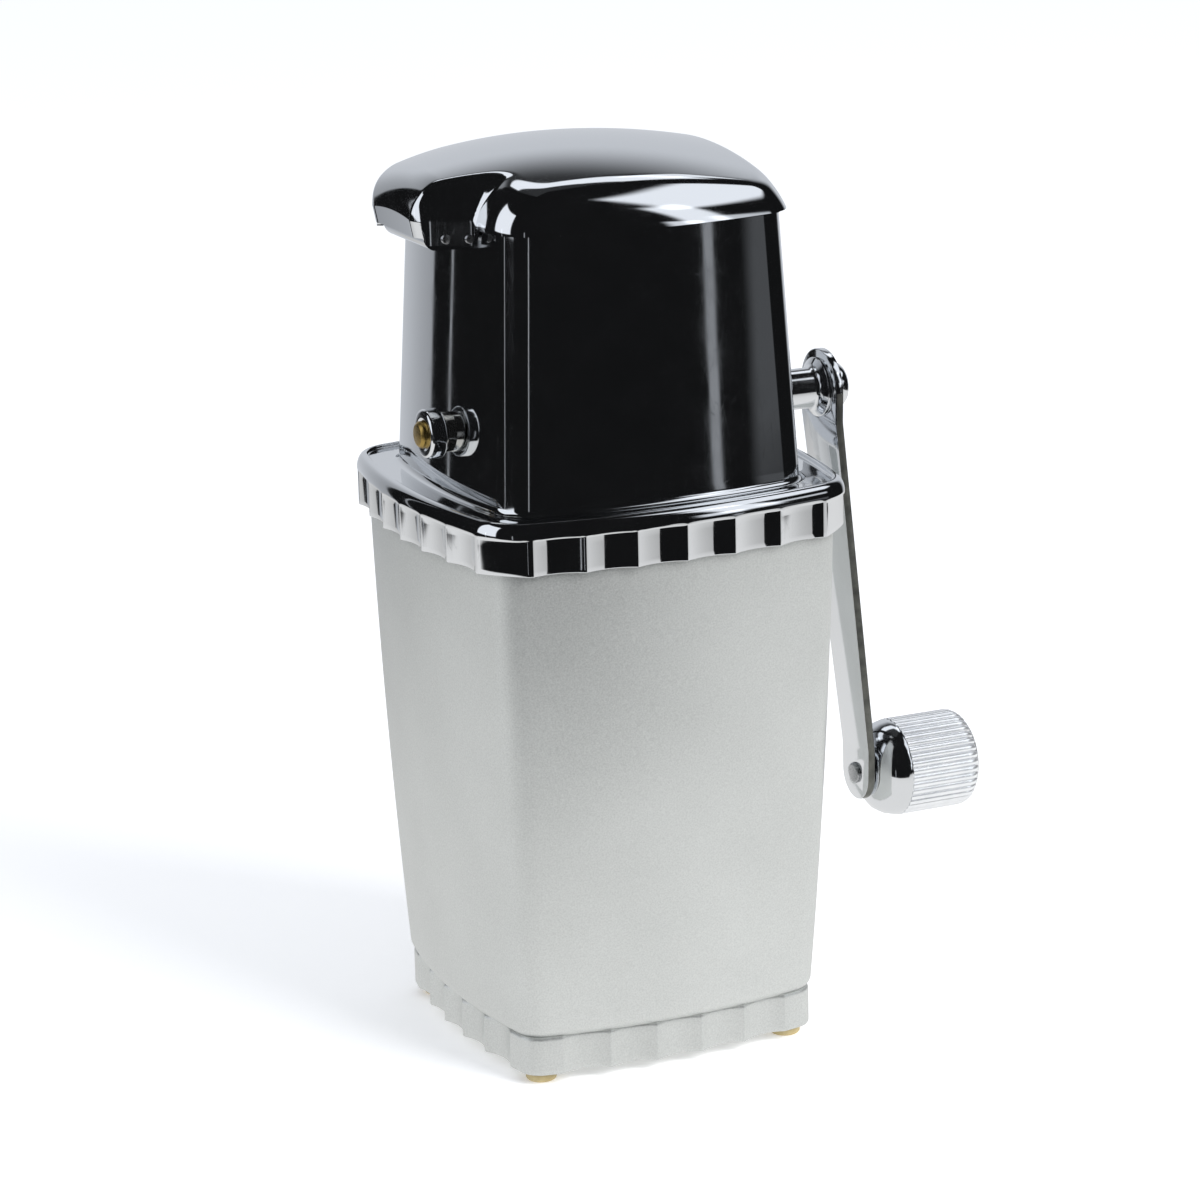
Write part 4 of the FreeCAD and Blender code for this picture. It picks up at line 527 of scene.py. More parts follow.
def arc(middle, radius, start, end, steps):
    """Points of an arc in a section, angles in degrees."""
    angle = np.radians(np.linspace(start, end, steps + 1))
    return [(middle[0] + radius * math.cos(a), middle[1] + radius * math.sin(a)) for a in angle]


def lathe(section, axis, centre, segments=96):
    """Turn a section of (place along the axis, radius) about X or Z; ends at radius 0 are closed."""
    angle = np.linspace(0, 2 * math.pi, segments, endpoint=False)
    points = []
    for along, radius in section:
        ring = {"X": (np.full(segments, along), radius * np.cos(angle), radius * np.sin(angle)),
                "Z": (radius * np.cos(angle), radius * np.sin(angle), np.full(segments, along))}[axis]
        points.append(np.stack(ring, -1) + np.asarray(centre))
    return np.concatenate(points), ring_faces(len(section), segments)


def extruded(section, low_y, high_y):
    """A closed section (x, z) drawn out along Y."""
    count = len(section)
    points = [(x, low_y, z) for x, z in section] + [(x, high_y, z) for x, z in section]
    faces = [tuple(range(count)), tuple(range(2 * count - 1, count - 1, -1))]
    for i in range(count):
        j = (i + 1) % count
        faces.append((j, i, count + i, count + j))
    return points, faces


def join(parts):
    """Several (points, faces) as one."""
    points, faces, start = [], [], 0
    for some, their in parts:
        points.append(np.asarray(some, float))
        faces += [tuple(v + start for v in face) for face in their]
        start += len(some)
    return np.concatenate(points), faces


print("faces of a turned ring:", len(ring_faces(2, 96)))

# %% [markdown]
# ## Upper housing
# Collar, shelf and tower are one die casting: a fluted skirt that drops over the tub's
# rim, a plain bead, a shelf and a tower that narrows to its mouth. It could be three shells
# pushed together, but then the mirror would break where they meet. So one stack of rings
# goes up the outside, over the mouth, down inside the tower and round the lip that hangs
# in the tub, and closes on itself.

# %% Levels and squares of the housing
LIP_END, MOUTH = cad_range("upper_housing", 2)
RIM = LIP_END + 8.0  # the tub's rim, on which the housing sits
SKIRT = RIM - 3.0
FLUTE_TOP = SKIRT + 10.2
BEAD = FLUTE_TOP + 4.6
SHELF = BEAD - 1.2
# A square is its half width, the radius of its sides and the radius of its corners
COLLAR, SKIRT_INSIDE = (60.4, 210.0, 14.0), (57.6, 197.4, 9.9)
LIP_OUTSIDE, LIP_INSIDE = (54.3, 187.1, 6.6), (52.5, 185.3, 4.8)
TOWER_FOOT, TOWER_TOP, TOWER_SIDES, TOWER_WALL = 49.1, 44.6, (200.0, 12.5), 2.6
CORNER_FLUTE = 1.8  # depth of the shallow hollow across a corner
FOOT_FILLET = 1.8
print("rim", RIM, "shelf", SHELF, "mouth", MOUTH)

# %% One ring of the collar or the tower
collar_places, collar_hollow = flutes(6, 14.7, 1.7, COLLAR[1], square_arcs(*COLLAR)[2])


def collar(inset, level, share=0.0):
    """A ring of the collar; share is how much of the flutes' depth it has."""
    cut = (lambda angle: share * collar_hollow(angle)) if share else None
    return outline(*COLLAR, level, inset, collar_places, cut, CORNER_FLUTE * share)


def tower(level, inset=0.0):
    half = TOWER_FOOT + (TOWER_TOP - TOWER_FOOT) * (level - SHELF) / (MOUTH - SHELF)
    return outline(half, *TOWER_SIDES, level, inset, collar_places)


print("points in one ring:", len(tower(SHELF)))

# %% Up the outside, over the mouth and down inside
stack = [collar(inset, SKIRT + rise, 1.0) for inset, rise in ((0.25, 0.0), (0.1, 0.04), (0.03, 0.12), (0.0, 0.25))]
stack += [collar(0.0, level, 1.0) for level in np.linspace(SKIRT + 1.5, FLUTE_TOP - 0.6, 6)]
stack += [collar(0.0, FLUTE_TOP + rise, share) for rise, share in (
    (-0.35, 0.985), (-0.15, 0.93), (-0.04, 0.80), (0.0, 0.60), (0.0, 0.15), (0.05, 0.06), (0.25, 0.0))]
bead_start = FLUTE_TOP + 0.3
for bend in np.radians(np.linspace(8, 90, 12)):
    stack.append(collar(2.6 * (1 - math.cos(bend)), bead_start + (BEAD - bead_start) * math.sin(bend)))
stack += [collar(across, BEAD + rise) for across, rise in arc((2.7, -0.35), 0.35, 75, 0, 3)
          + arc((3.45, -0.8), 0.4, 180, 270, 4)]
bead_end, tower_start = stack[-1], outline(TOWER_FOOT, *TOWER_SIDES, SHELF, -FOOT_FILLET, collar_places)
stack += [bead_end * (1 - share) + tower_start * share for share in (0.2, 0.4, 0.6, 0.8)]
stack += [tower(SHELF + rise, -across) for across, rise in arc((FOOT_FILLET, FOOT_FILLET), FOOT_FILLET, 270, 183, 9)]
stack += [tower(level) for level in np.linspace(SHELF + 4, MOUTH - 0.6, 24)]
stack += [tower(MOUTH + rise, across) for across, rise in arc((0.5, -0.5), 0.5, 170, 90, 4)
          + arc((2.1, -0.5), 0.5, 90, 0, 4)]
under_shelf = SHELF - TOWER_WALL
stack += [tower(level, TOWER_WALL) for level in np.linspace(MOUTH - 1.5, under_shelf, 8)]
stack += [outline(*square, level, inset, collar_places) for square, level, inset in (
    (LIP_INSIDE, under_shelf, 0.0), (LIP_INSIDE, LIP_END + 0.3, 0.0), (LIP_INSIDE, LIP_END, -0.3),
    (LIP_OUTSIDE, LIP_END, 0.3), (LIP_OUTSIDE, LIP_END + 0.3, 0.0), (LIP_OUTSIDE, RIM, 0.0),
    (SKIRT_INSIDE, RIM, 0.0), (SKIRT_INSIDE, SKIRT + 0.3, 0.0), (SKIRT_INSIDE, SKIRT, -0.3))]
housing_shell = skin(stack, closed=True)
print("rings in the housing:", len(stack))

# %% [markdown]
# The ear behind the lid's nose carries the hinge pin: a flat web that ends in a round
# knuckle. It is a section drawn out along the pin. Four posts under the shelf take the
# screws of the hopper. All are closed shells that reach into the casting, joined to its
# mesh without a boolean, because no mirror shows the seam.

# %% The ear, the posts and the whole casting
HINGE = (-52.0, MOUTH - 4.2)
EAR_HALF, EAR_FOOT = 14.8, -43.5
web_top = HINGE[1] - 1.5
knuckle = [(HINGE[0] + x, HINGE[1] + z) for x, z in arc((0, 0), 4.2, 250, -40, 28)]
ear = extruded([(EAR_FOOT, web_top - 3.0)] + knuckle + [(-47.0, web_top), (EAR_FOOT, web_top)], -EAR_HALF, EAR_HALF)
post = [(SHELF - 2.0, 0.0), (SHELF - 2.0, 3.4), (RIM + 2.75, 3.4), (RIM + 2.65, 3.3), (RIM + 2.65, 0.0)]
posts = [lathe(post, "Z", (x, y, 0), 32) for x in (-42.5, 42.5) for y in (-42.5, 42.5)]
new_piece("housing_casting", *join([housing_shell, ear] + posts), "housing", chrome_plate, "chrome_plate",
          ("upper_housing",))

# %% [markdown]
# ## Tub
# The tub is one moulding of plastic. Its plinth is fluted like the collar, and the wall
# turns out a little over a shadow line and opens towards the rim in a slow curve. A box
# with a taper would have flat sides, and the light would not change along them. So it is
# a stack of rings too: up the outside, over the rim and down to the floor inside.

# %% Levels and squares of the tub
TUB_BASE, TUB_TOP = cad_range("ice_tub", 2)
PLINTH_TOP = TUB_BASE + 11.4
WALL_START = PLINTH_TOP + 2.4
PLINTH, PLINTH_INSIDE = (49.6, 190.0, 7.0), (45.2, 190.0, 7.0)
WALL_FOOT, WALL_MIDDLE, WALL_TOP = 50.4, 54.7, 57.2  # half widths
TUB_SIDES, TUB_WALL = (197.0, 9.5), 2.4
plinth_places, plinth_hollow = flutes(5, 14.0, 2.0, PLINTH[1], square_arcs(*PLINTH)[2])


def plinth(inset, level, share=1.0):
    return outline(*PLINTH, level, inset, plinth_places, lambda angle: share * plinth_hollow(angle))


def wall(half, level, inset=0.0):
    return outline(half, *TUB_SIDES, level, inset, plinth_places)


def half_at(level):
    """Half width of the wall: a parabola through its foot, its middle and its top."""
    share = (level - WALL_START) / (TUB_TOP - WALL_START)
    return (WALL_FOOT + (4 * WALL_MIDDLE - 3 * WALL_FOOT - WALL_TOP) * share
            + 2 * (WALL_TOP + WALL_FOOT - 2 * WALL_MIDDLE) * share ** 2)


print("half width halfway up:", round(half_at((WALL_START + TUB_TOP) / 2), 2))

# %% Rings of the tub, from the hollow under it to the floor inside
stack = [outline(*PLINTH_INSIDE, TUB_BASE + rise, inset, plinth_places) for inset, rise in (
    (1.5, 8.6), (0.4, 8.3), (0.0, 7.2), (0.0, 0.3), (-0.3, 0.0))]
stack += [plinth(inset, TUB_BASE + rise) for inset, rise in ((0.6, 0.0), (0.2, 0.1), (0.0, 0.5))]
stack += [plinth(0.0, level) for level in np.linspace(TUB_BASE + 1.5, PLINTH_TOP - 1.2, 6)]
stack += [plinth(inset, PLINTH_TOP + rise, share) for inset, rise, share in (
    (0.05, -0.8, 1.0), (0.2, -0.45, 1.0), (0.5, -0.15, 1.0), (0.9, 0.0, 1.0), (2.6, 0.0, 0.3))]
stack += [wall(WALL_FOOT, PLINTH_TOP + rise, inset) for inset, rise in (
    (1.6, 0.0), (1.3, 0.25), (0.75, 0.8), (0.3, 1.5), (0.0, 2.4))]
stack += [wall(half_at(level), level) for level in np.linspace(PLINTH_TOP + 6, TUB_TOP - 0.4, 24)]
stack += [wall(half_at(TUB_TOP), TUB_TOP + rise, inset) for inset, rise in (
    (0.1, -0.12), (0.4, 0.0), (2.0, 0.0), (2.3, -0.12), (2.4, -0.4))]
stack += [wall(half_at(level), level, TUB_WALL) for level in np.linspace(TUB_TOP - 4, PLINTH_TOP + 5.0, 8)]
stack += [wall(WALL_FOOT, PLINTH_TOP + rise, inset) for inset, rise in (
    (2.5, 3.0), (3.2, 1.2), (4.4, 0.25), (6.0, 0.0))]
tub_points, tub_faces = skin(stack)
around, total = len(stack[0]), len(tub_points)
tub_faces += [tuple(range(around))[::-1], tuple(range(total - around, total))]
boss = [(TUB_BASE + 9.0, 0.0), (TUB_BASE + 9.0, 6.8), (TUB_BASE + 0.3, 6.8), (TUB_BASE, 6.5), (TUB_BASE, 0.0)]
bosses = [lathe(boss, "Z", (x, y, 0), 48) for x in (-38.5, 38.5) for y in (-38.5, 38.5)]
new_piece("tub_moulding", *join([(tub_points, tub_faces)] + bosses), "tub", silver_lacquer, "tub_silver",
          ("ice_tub",))

# %% [markdown]
# ## Lid
# Seen from above the lid is a rounded square with a blunt nose that reaches back over the
# hinge. Its crown is a long arc along the axle and a shorter one across. A soft crease
# runs round where the crown meets the sides, and dips where the nose grows out of the
# body. It could be sculpted from a cube, but a mirror shows every wobble. So its height is
# worked out at every place, as the lower of the crown and the sides, blended.

# %% Crown, sides and nose as heights
LID_RIM = MOUTH - 1.8
CROWN_TOP = LID_RIM + 19.79
CROWN_LEFT, CROWN_RIGHT, CROWN_ACROSS = 175.0, 200.0, 110.0  # radii of the crown
PEAK_X = -8.0
NOSE_TURN = 11.5  # radius where the nose turns over into the crown
NOSE_BOTTOM = LID_RIM - 4.2
BAND_TOP = NOSE_BOTTOM + 6.5
NOSE_END, NOSE_ROOT = -59.5, -28.0
NOSE_HALF, ROOT_HALF, NOSE_CORNER = 17.0, 34.3, 3.5
LID_HALF, LID_SIDES = 47.4, (155.0, 11.7)
OFF_THE_EDGE = 3.0  # how fast a height falls away outside the plan


def crown_level(x, y):
    """The crown bends less on the crank's side, and turns down over the nose."""
    left_bend = CROWN_LEFT - NOSE_TURN
    turn_x = NOSE_END + NOSE_TURN
    turn_z = CROWN_ACROSS - CROWN_LEFT + math.sqrt(left_bend ** 2 - (turn_x - PEAK_X) ** 2)
    bend = np.where(x > PEAK_X, CROWN_RIGHT, CROWN_LEFT)
    long_arc = CROWN_ACROSS - bend + np.sqrt(bend ** 2 - (x - PEAK_X) ** 2)
    nose_arc = turn_z + np.sqrt(np.maximum(NOSE_TURN ** 2 - (x - turn_x) ** 2, 0))
    on_nose = x < PEAK_X + (turn_x - PEAK_X) * CROWN_LEFT / left_bend
    return CROWN_TOP - CROWN_ACROSS + np.sqrt(np.where(on_nose, nose_arc, long_arc) ** 2 - y ** 2)


def rise_over(inset, slope, curve):
    """Height of a flank that leans in: slope * height + curve * height squared is its inset."""
    rise = (np.sqrt(slope ** 2 + 4 * curve * np.maximum(inset, 0)) - slope) / (2 * curve)
    return np.where(inset > 0, rise, inset * OFF_THE_EDGE)


def side_level(x, y):
    """Level at which the lid's rounded square, drawn in as it rises, passes through a place."""
    bulge, corner = LID_SIDES
    right = np.clip((x + 20) / 62, 0, 1)  # the flanks change from left to right
    slope, curve = 0.386 * right, 0.0478 - 0.0201 * right
    x, y = np.abs(x), np.abs(y)
    reach = bulge - corner
    long_side, short_side = np.maximum(x, y), np.minimum(x, y)
    half_side = long_side + bulge - np.sqrt(bulge ** 2 - short_side ** 2)
    near = np.minimum(long_side - short_side, corner * 1.41)
    at = (x + y - np.sqrt(2 * corner ** 2 - near ** 2)) / 2
    half_corner = bulge + at - np.sqrt(reach ** 2 - at ** 2)
    facing = np.arctan2(short_side - at, long_side - at)
    in_corner = (at > 0) & (facing > np.arcsin(np.clip(at / reach, 0, 1)))
    return LID_RIM + rise_over(LID_HALF - np.where(in_corner, half_corner, half_side), slope, curve)


def nose_level(x, y):
    """Level of the nose's flanks, which stand nearly upright and then lean in."""
    along = x - NOSE_END
    rounding = NOSE_CORNER - np.sqrt(np.maximum(NOSE_CORNER ** 2 - np.maximum(NOSE_CORNER - along, 0) ** 2, 0))
    half = NOSE_HALF + along * (ROOT_HALF - NOSE_HALF) / (NOSE_ROOT - NOSE_END)
    return np.where(x < NOSE_ROOT, BAND_TOP + rise_over(half - rounding - np.abs(y), 0.15, 0.026), 0.0)


def soft_lower(a, b, blend):
    """The lower of two heights, with the crease between them rounded over about blend."""
    share = np.clip(0.5 + 0.5 * (b - a) / blend, 0, 1)
    return b * (1 - share) + a * share - blend * share * (1 - share)


def lid_level(x, y):
    sides = -soft_lower(-side_level(x, y), -nose_level(x, y), 4.0)
    return soft_lower(crown_level(x, y), sides, 1.3)


print("top of the lid:", round(float(lid_level(np.array([PEAK_X]), np.array([0.0]))[0]), 2))

# %% [markdown]
# The plan of the lid isn't round, so a fan of rays runs from the middle to its edge. Rings
# across the fan crowd towards the edge, where the sides are steep. The wall has one
# thickness all over: a copy of the outside is moved in along its own normals.

# %% Rays, rings and the wall
FAN_X = -6.0
LID_WALL = 1.6


def lid_edge(angle):
    """Distance from the middle to the lid's edge in plan, found by halving."""
    near, far = np.full_like(angle, 10.0), np.full_like(angle, 75.0)
    for _ in range(48):
        middle = (near + far) / 2
        x, y = FAN_X + middle * np.cos(angle), middle * np.sin(angle)
        inside = (side_level(x, y) > LID_RIM + 1e-6) | ((nose_level(x, y) > BAND_TOP) & (x > NOSE_END))
        near, far = np.where(inside, middle, near), np.where(inside, far, middle)
    return near


def lid_outside(around=560, inwards=110):
    """Rings of the outside, up the skirt and then in to the middle, as an array of points."""
    angle = np.linspace(0, 2 * math.pi, around, endpoint=False)
    edge = lid_edge(angle)
    cos, sin = np.cos(angle), np.sin(angle)
    edge_x, edge_y = FAN_X + edge * cos, edge * sin
    edge_level = lid_level(edge_x, edge_y)
    on_nose = nose_level(edge_x, edge_y) > BAND_TOP - 1.5
    at_end = np.clip((NOSE_END + 2.6 - edge_x) / 1.2, 0, 1)
    bottom = np.where(on_nose, NOSE_BOTTOM + 1.8 * at_end, LID_RIM)
    outside = []
    for share in SKIRT_SHARES:
        level = bottom + (edge_level - bottom) * share
        outside.append(np.stack([edge_x + 0.2 * at_end * (edge_level - level), edge_y, level], -1))
    for step in np.linspace(0, 1, inwards) ** 2.6:
        x, y = FAN_X + edge * (1 - step) * cos, edge * (1 - step) * sin
        outside.append(np.stack([x, y, lid_level(x, y)], -1))
    return np.array(outside)


def lid_inside(grid):
    """Every fourth ring of the outside, moved in by the wall; the skirt moves in level."""
    skirt = len(SKIRT_SHARES)
    normal = np.cross(np.roll(grid, -1, 1) - np.roll(grid, 1, 1), np.gradient(grid, axis=0))
    normal /= np.maximum(np.linalg.norm(normal, axis=2, keepdims=True), 1e-9)
    flat = normal[:skirt] * [1, 1, 0]
    normal[:skirt] = flat / np.maximum(np.linalg.norm(flat, axis=2, keepdims=True), 1e-9)
    normal[-1] = (0, 0, 1)
    inner = grid - LID_WALL * normal
    inner[:3, :, 2] = grid[:3, :, 2]
    kept = [*range(0, skirt + 1), *range(skirt + 2, len(grid) - 1, 4), len(grid) - 1]
    return [inner[i] for i in reversed(kept)]


SKIRT_SHARES = (0.0, 0.06, 0.3, 0.6, 0.85, 0.95)
outside = lid_outside()
new_piece("lid_shell", *skin(lid_inside(outside) + list(outside)), "lid", chrome_plate, "chrome_plate", ("lid",),
          sharp=50)

# %% [markdown]
# ## Turned pieces
# Bush, cap, sleeve, nut, washer and spindle come off a lathe, so each is a section turned
# about the axle. A cylinder with a bevel would do, but a section says every step at once.
# Corners are rounded by small arcs, because a mirror shows an edge only by the bright line
# that its rounding makes.

# %% Turn a section with rounded corners
def unit(vector):
    return vector / np.linalg.norm(vector)


def rounded(corners, steps=5):
    """Corners (along, radius, rounding) of a section, each rounding drawn as an arc."""
    points = []
    for i, (along, radius, rounding) in enumerate(corners):
        here = np.array([along, radius], float)
        if not rounding or i in (0, len(corners) - 1):
            points.append(tuple(here))
            continue
        back, onward = (unit(np.array(corners[j][:2], float) - here) for j in (i - 1, i + 1))
        half = math.acos(np.clip(back @ onward, -1, 1)) / 2
        setback = rounding / math.tan(half)
        middle = here + unit(back + onward) * rounding / math.sin(half)
        start, end = here + back * setback - middle, here + onward * setback - middle
        for share in np.linspace(0, 1, steps + 1):
            points.append(tuple(middle + unit(start * (1 - share) + end * share) * rounding))
    return points


def turned(name, corners, height, body, look, slot, replaces):
    """A piece turned about the axle's direction, from corners in order round its section."""
    points, faces = lathe(rounded(corners), "X", (0, AXLE_Y, height))
    return new_piece(name, points, faces, body, look, slot, replaces, sharp=60)


AXLE_Y = sum(cad_range("shaft_cap", 1)) / 2
AXLE = sum(cad_range("shaft_cap", 2)) / 2
KNOB_Z = sum(cad_range("crank_knob", 2)) / 2
print("axle", round(AXLE_Y, 2), round(AXLE, 2), "knob", round(KNOB_Z, 2))

# %% Bushes and the cap on the left end
BORE = 3.85  # radius of the shaft's holes
bush_in, bush_out = cad_range("right_bush", 0)
for side, node in ((-1, "left_bush"), (1, "right_bush")):
    section = [(bush_out, BORE, 0), (bush_out, 5.6, 0.7), (bush_in + 4.0, 5.6, 0.15), (bush_in + 4.0, 6.4, 0.6),
               (bush_in + 1.6, 6.4, 0.15), (bush_in + 1.6, 7.2, 0.5), (bush_in, 7.2, 0.2), (bush_in, BORE, 0),
               (bush_out, BORE, 0)]
    turned(node + "_turned", [(side * x, r, f) for x, r, f in section], AXLE, "housing", nickel, "bush_nickel",
           (node,))
cap_out, cap_in = cad_range("shaft_cap", 0)
turned("shaft_cap_turned", [(cap_in, BORE, 0), (cap_in, 7.0, 0.4), (cap_out, 7.0, 1.0), (cap_out, 4.6, 0.3),
                            (cap_out + 0.4, BORE, 0), (cap_in, BORE, 0)],
       AXLE, "rotor", chrome_steel, "chrome_small_parts", ("shaft_cap",))

# %% Sleeve, washer and domed nut on the right end
hub_in, hub_out = cad_range("crank_hub", 0)
washer_in, washer_out = cad_range("crank_washer", 0)
nut_out, shaft_end = cad_range("crank_cap_nut", 0)[1], cad_range("rotor_shaft", 0)[1] + 0.1
for node, section in (
        ("crank_hub", [(hub_in, BORE, 0), (hub_in, 5.9, 0.3), (hub_out - 2.6, 5.9, 2.1), (hub_out - 1.0, 8.6, 0.3),
                       (hub_out, 8.6, 0.2), (hub_out, BORE, 0), (hub_in, BORE, 0)]),
        ("crank_washer", [(washer_in, BORE, 0), (washer_in, 8.0, 0.15), (washer_out, 8.0, 0.25),
                          (washer_out, BORE, 0), (washer_in, BORE, 0)]),
        ("crank_cap_nut", [(shaft_end, 0.0, 0), (shaft_end, BORE, 0), (washer_out, BORE, 0), (washer_out, 6.9, 0.2),
                           (nut_out, 6.9, 3.1), (nut_out, 0.0, 0)])):
    turned(node + "_turned", section, AXLE, "rotor", chrome_steel, "chrome_small_parts", (node,))

# %% [markdown]
# ## Knob
# The knob turns on a spindle riveted into the arm. Its nose is a smooth dome, and the rest
# is reeded for grip. Reeds could be modelled one by one or set round with an array, but
# they are one shape repeated, and their number is the first thing to change. So Geometry
# Nodes draw a single reed, bent in at its outer end, and set copies round the axis. The
# smooth core is turned like the other pieces.

# %% The tree that draws the reeds
def reed_tree():
    tree = bpy.data.node_groups.new("reeds", "GeometryNodeTree")
    tree.interface.new_socket("Geometry", in_out="OUTPUT", socket_type="NodeSocketGeometry")
    for label, kind in (("Start", "Float"), ("End", "Float"), ("Ring Radius", "Float"), ("Reed Radius", "Float"),
                        ("End Rounding", "Float"), ("Count", "Int"), ("Material", "Material")):
        tree.interface.new_socket(label, in_out="INPUT", socket_type="NodeSocket" + kind)
    given = add(tree, "NodeGroupInput").outputs
    line = add(tree, "GeometryNodeCurvePrimitiveLine", {
        "Start": add(tree, "ShaderNodeCombineXYZ", {"X": given["Start"]}),
        "End": add(tree, "ShaderNodeCombineXYZ", {"X": given["End"]})})
    fine = add(tree, "GeometryNodeResampleCurve", {"Curve": line, "Count": 26})

    # Past the place where the rounding starts, the reed falls along a circle of that radius
    along = add(tree, "ShaderNodeSeparateXYZ", add(tree, "GeometryNodeInputPosition"))
    rounding = given["End Rounding"]
    bend_start = add(tree, "subtract", given["End"], rounding)
    over = add(tree, "maximum", add(tree, "subtract", along, bend_start), 0.0)
    over_squared = add(tree, "multiply", add(tree, "multiply", over, over), 0.98)
    left = add(tree, "sqrt", add(tree, "subtract", add(tree, "multiply", rounding, rounding), over_squared))
    centre = add(tree, "subtract", given["Ring Radius"], given["Reed Radius"])
    height = add(tree, "subtract", centre, add(tree, "subtract", rounding, left))
    lifted = add(tree, "GeometryNodeSetPosition", {
        "Geometry": fine, "Offset": add(tree, "ShaderNodeCombineXYZ", {"Z": height})})
    circle = add(tree, "GeometryNodeCurvePrimitiveCircle", {"Resolution": 14, "Radius": given["Reed Radius"]})
    reed = add(tree, "GeometryNodeCurveToMesh", {"Curve": lifted, "Profile Curve": circle, "Fill Caps": True})

    whole_turn = add(tree, "multiply", add(tree, "GeometryNodeInputIndex"), 2 * math.pi)
    turn = add(tree, "divide", whole_turn, given["Count"])
    ring = add(tree, "GeometryNodeInstanceOnPoints", {
        "Points": add(tree, "GeometryNodePoints", {"Count": given["Count"]}),
        "Instance": reed, "Rotation": add(tree, "ShaderNodeCombineXYZ", {"X": turn})})
    whole = add(tree, "GeometryNodeRealizeInstances", {"Geometry": ring})
    painted = add(tree, "GeometryNodeSetMaterial", {"Geometry": whole, "Material": given["Material"]})
    add(tree, "NodeGroupOutput", {"Geometry": painted})
    return tree


reeds = reed_tree()
print("nodes in the tree of reeds:", len(reeds.nodes))


# %% Run the tree
def settled(holder):
    """The mesh that an object's modifiers leave; the object itself goes."""
    graph = bpy.context.evaluated_depsgraph_get()
    mesh = bpy.data.meshes.new_from_object(holder.evaluated_get(graph), depsgraph=graph)
    bpy.data.objects.remove(holder)
    return mesh


def grown(tree, values):
    """Run a tree with its inputs set by name, and return points in millimetres and faces."""
    holder = put("holder", bpy.data.meshes.new("holder"))
    modifier = holder.modifiers.new("grow", "NODES")
    modifier.node_group = tree
    for item in tree.interface.items_tree:
        if item.in_out == "INPUT":
            modifier[item.identifier] = values[item.name]
    mesh = settled(holder)
    return np.array([v.co for v in mesh.vertices]) / MM, [tuple(p.vertices) for p in mesh.polygons]


knob_in, knob_out = cad_range("crank_knob", 0)
knob_low, knob_high = cad_range("crank_knob", 2)
NOSE_LENGTH, SPINDLE_BORE, HEAD_BORE, PLUG_BORE = 9.3, 2.9, 5.3, 7.05
reed_start = knob_in + NOSE_LENGTH
reed_points, reed_faces = grown(reeds, {
    "Start": reed_start * MM, "End": (knob_out - 1.1) * MM, "Ring Radius": (knob_high - knob_low) / 2 * MM,
    "Reed Radius": 1.15 * MM, "End Rounding": 2.6 * MM, "Count": 40, "Material": chrome_steel})
print("faces on the reeds:", len(reed_faces))

# %% Core, plug and spindle
core = [(knob_in + along, radius) for along, radius in (
    (0.0, SPINDLE_BORE), (0.0, 5.4), (0.5, 8.0), (1.6, 10.3), (3.2, 12.2), (5.4, 13.5), (7.6, 14.1), (8.8, 14.35),
    (NOSE_LENGTH, 14.2), (9.5, 13.6))]
core += [(knob_out - back, radius) for back, radius in (
    (3.0, 13.6), (1.0, 13.1), (0.25, 12.2), (0.0, 11.0), (0.0, PLUG_BORE), (2.2, PLUG_BORE), (2.2, HEAD_BORE),
    (5.2, HEAD_BORE), (5.2, SPINDLE_BORE))] + [(knob_in, SPINDLE_BORE)]
knob = new_piece("knob_reeded", *join([lathe(core, "X", (0, AXLE_Y, KNOB_Z), 160),
                                       (reed_points + [0, AXLE_Y, KNOB_Z], reed_faces)]),
                 "knob", chrome_steel, "chrome_knob", ("crank_knob",), sharp=50)
# The reeds' sides get the chrome with the painted sheen
second_look(knob, chrome_reeds_painted_sheen, lambda middle, normal: middle.x > reed_start and abs(normal.x) < 0.6)
plug_in, plug_out = cad_range("knob_end_plug", 0)
plug_out -= 0.1
turned("knob_plug_turned", [(plug_out, 0.0, 0), (plug_out, 7.0, 0.4), (plug_in, 7.0, 0), (plug_in, 0.0, 0)],
       KNOB_Z, "knob", chrome_steel, "chrome_knob", ("knob_end_plug",))
spindle_in, spindle_out = cad_range("knob_spindle", 0)
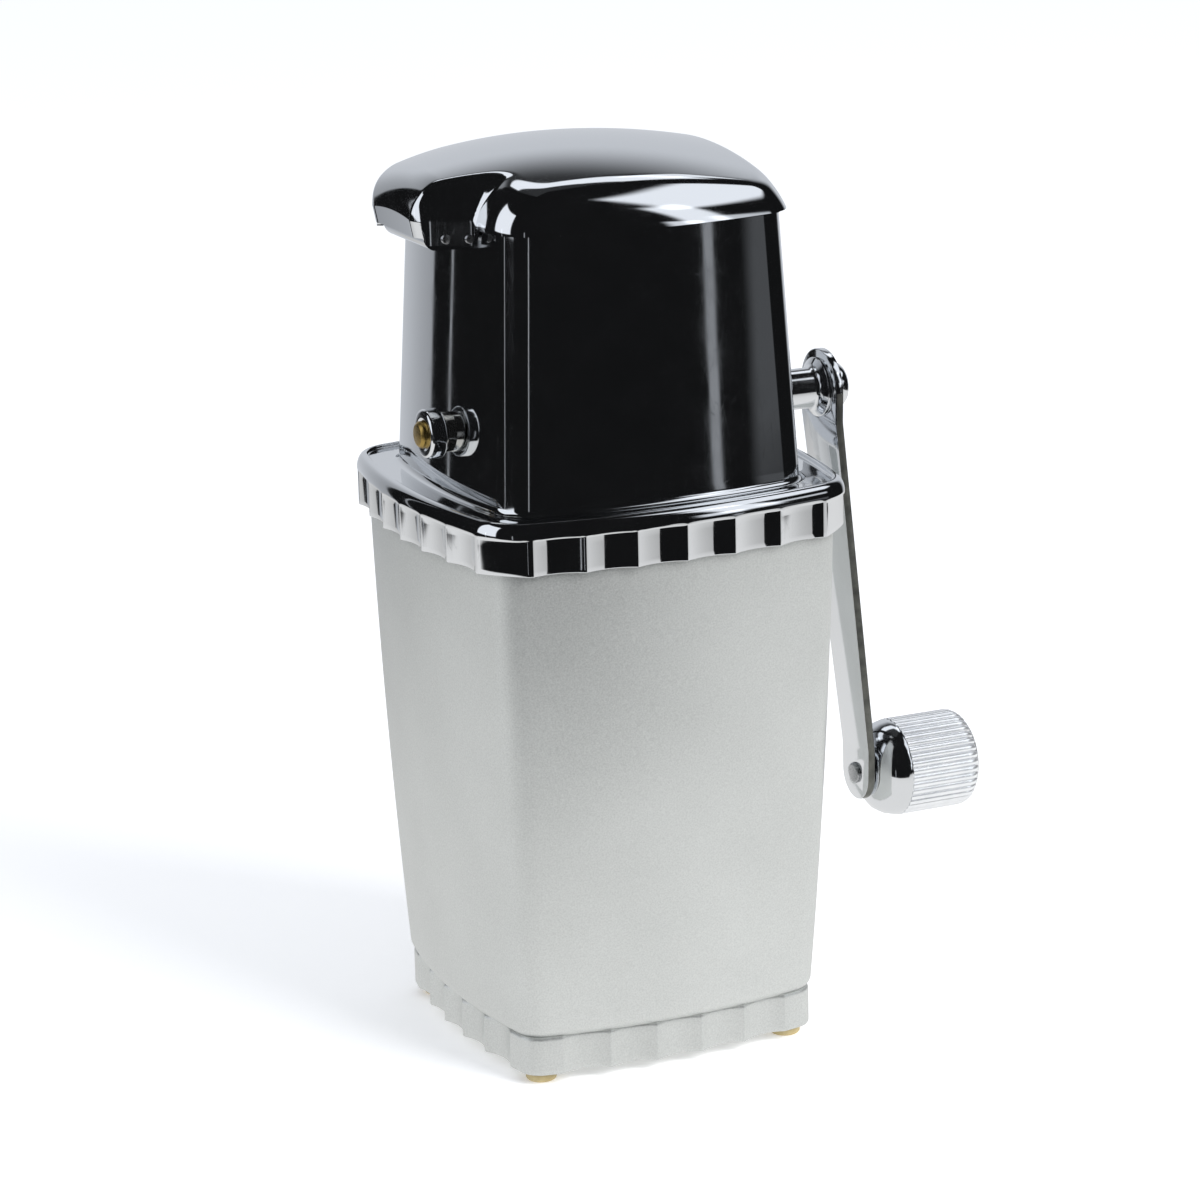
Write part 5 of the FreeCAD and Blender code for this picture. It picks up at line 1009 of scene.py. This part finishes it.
turned("knob_spindle_turned", [(spindle_in, 0.0, 0), (spindle_in, 3.0, 0.7), (spindle_in + 0.9, 3.0, 0),
                               (spindle_in + 0.9, 2.8, 0), (spindle_out - 2.5, 2.8, 0), (spindle_out - 2.5, 5.0, 0),
                               (spindle_out, 5.0, 0.5), (spindle_out, 0.0, 0)],
       KNOB_Z, "rotor", drawn_steel, "spindle_steel", ("knob_spindle",))

# %% [markdown]
# ## Pieces that keep their CAD shape
# Arm, blades, combs, hopper, screws, pins and feet are right as the CAD has them, so
# drawing them again would only bring mistakes. A CAD mesh is loose triangles with sharp
# edges, which no real piece has. So a copy is merged, its flat faces are made whole, and
# its edges get a narrow bevel, as stamping and tumbling leave them.

# %% Dress a CAD node
def dressed(node, body, look, edge_mm=0.25, segments=2):
    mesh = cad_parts[node].data.copy()
    tidy = bmesh.new()
    tidy.from_mesh(mesh)
    bmesh.ops.remove_doubles(tidy, verts=tidy.verts, dist=2e-6)
    bmesh.ops.dissolve_limit(tidy, angle_limit=math.radians(1), verts=tidy.verts, edges=tidy.edges)
    tidy.to_mesh(mesh)
    tidy.free()
    holder = put(node + "_copy", mesh)
    bevel = holder.modifiers.new("edges", "BEVEL")
    bevel.width = edge_mm * MM
    bevel.segments = segments
    bevel.limit_method = "ANGLE"
    bevel.angle_limit = math.radians(35)
    return place_piece(node + "_dressed", settled(holder), body, look, (node,), 30)


print("nodes in the CAD:", len(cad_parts))

# %% Arm, with the dark edge that the shears left on its straight part
ARM_HEAD_START = 166  # the plated head starts at this height
arm = dressed("crank_arm", "rotor", chrome_steel, 0.35, 3)
second_look(arm, sheared_edge, lambda middle, normal: abs(normal.x) < 0.4 and middle.z < ARM_HEAD_START)

# %% Blades, combs, hopper, shaft, screws, pins and feet
for number in range(1, 6):
    dressed(f"rotor_blade_{number}", "rotor", tumbled_steel, 0.2)
for node in ("front_comb", "back_comb", "hopper_frame"):
    dressed(node, "housing", pressed_steel, 0.2)
dressed("rotor_spacers", "rotor", tumbled_steel, 0.2)
dressed("rotor_shaft", "rotor", passivated_steel, 0.15)
for node in ("frame_screws", "comb_screws"):
    dressed(node, "housing", zinc_screws, 0.2)
for node in ("lid_hinge_pin", "lid_rest_pin"):
    dressed(node, "lid", drawn_steel, 0.25)
dressed("rubber_feet", "tub", rubber, 0.2)
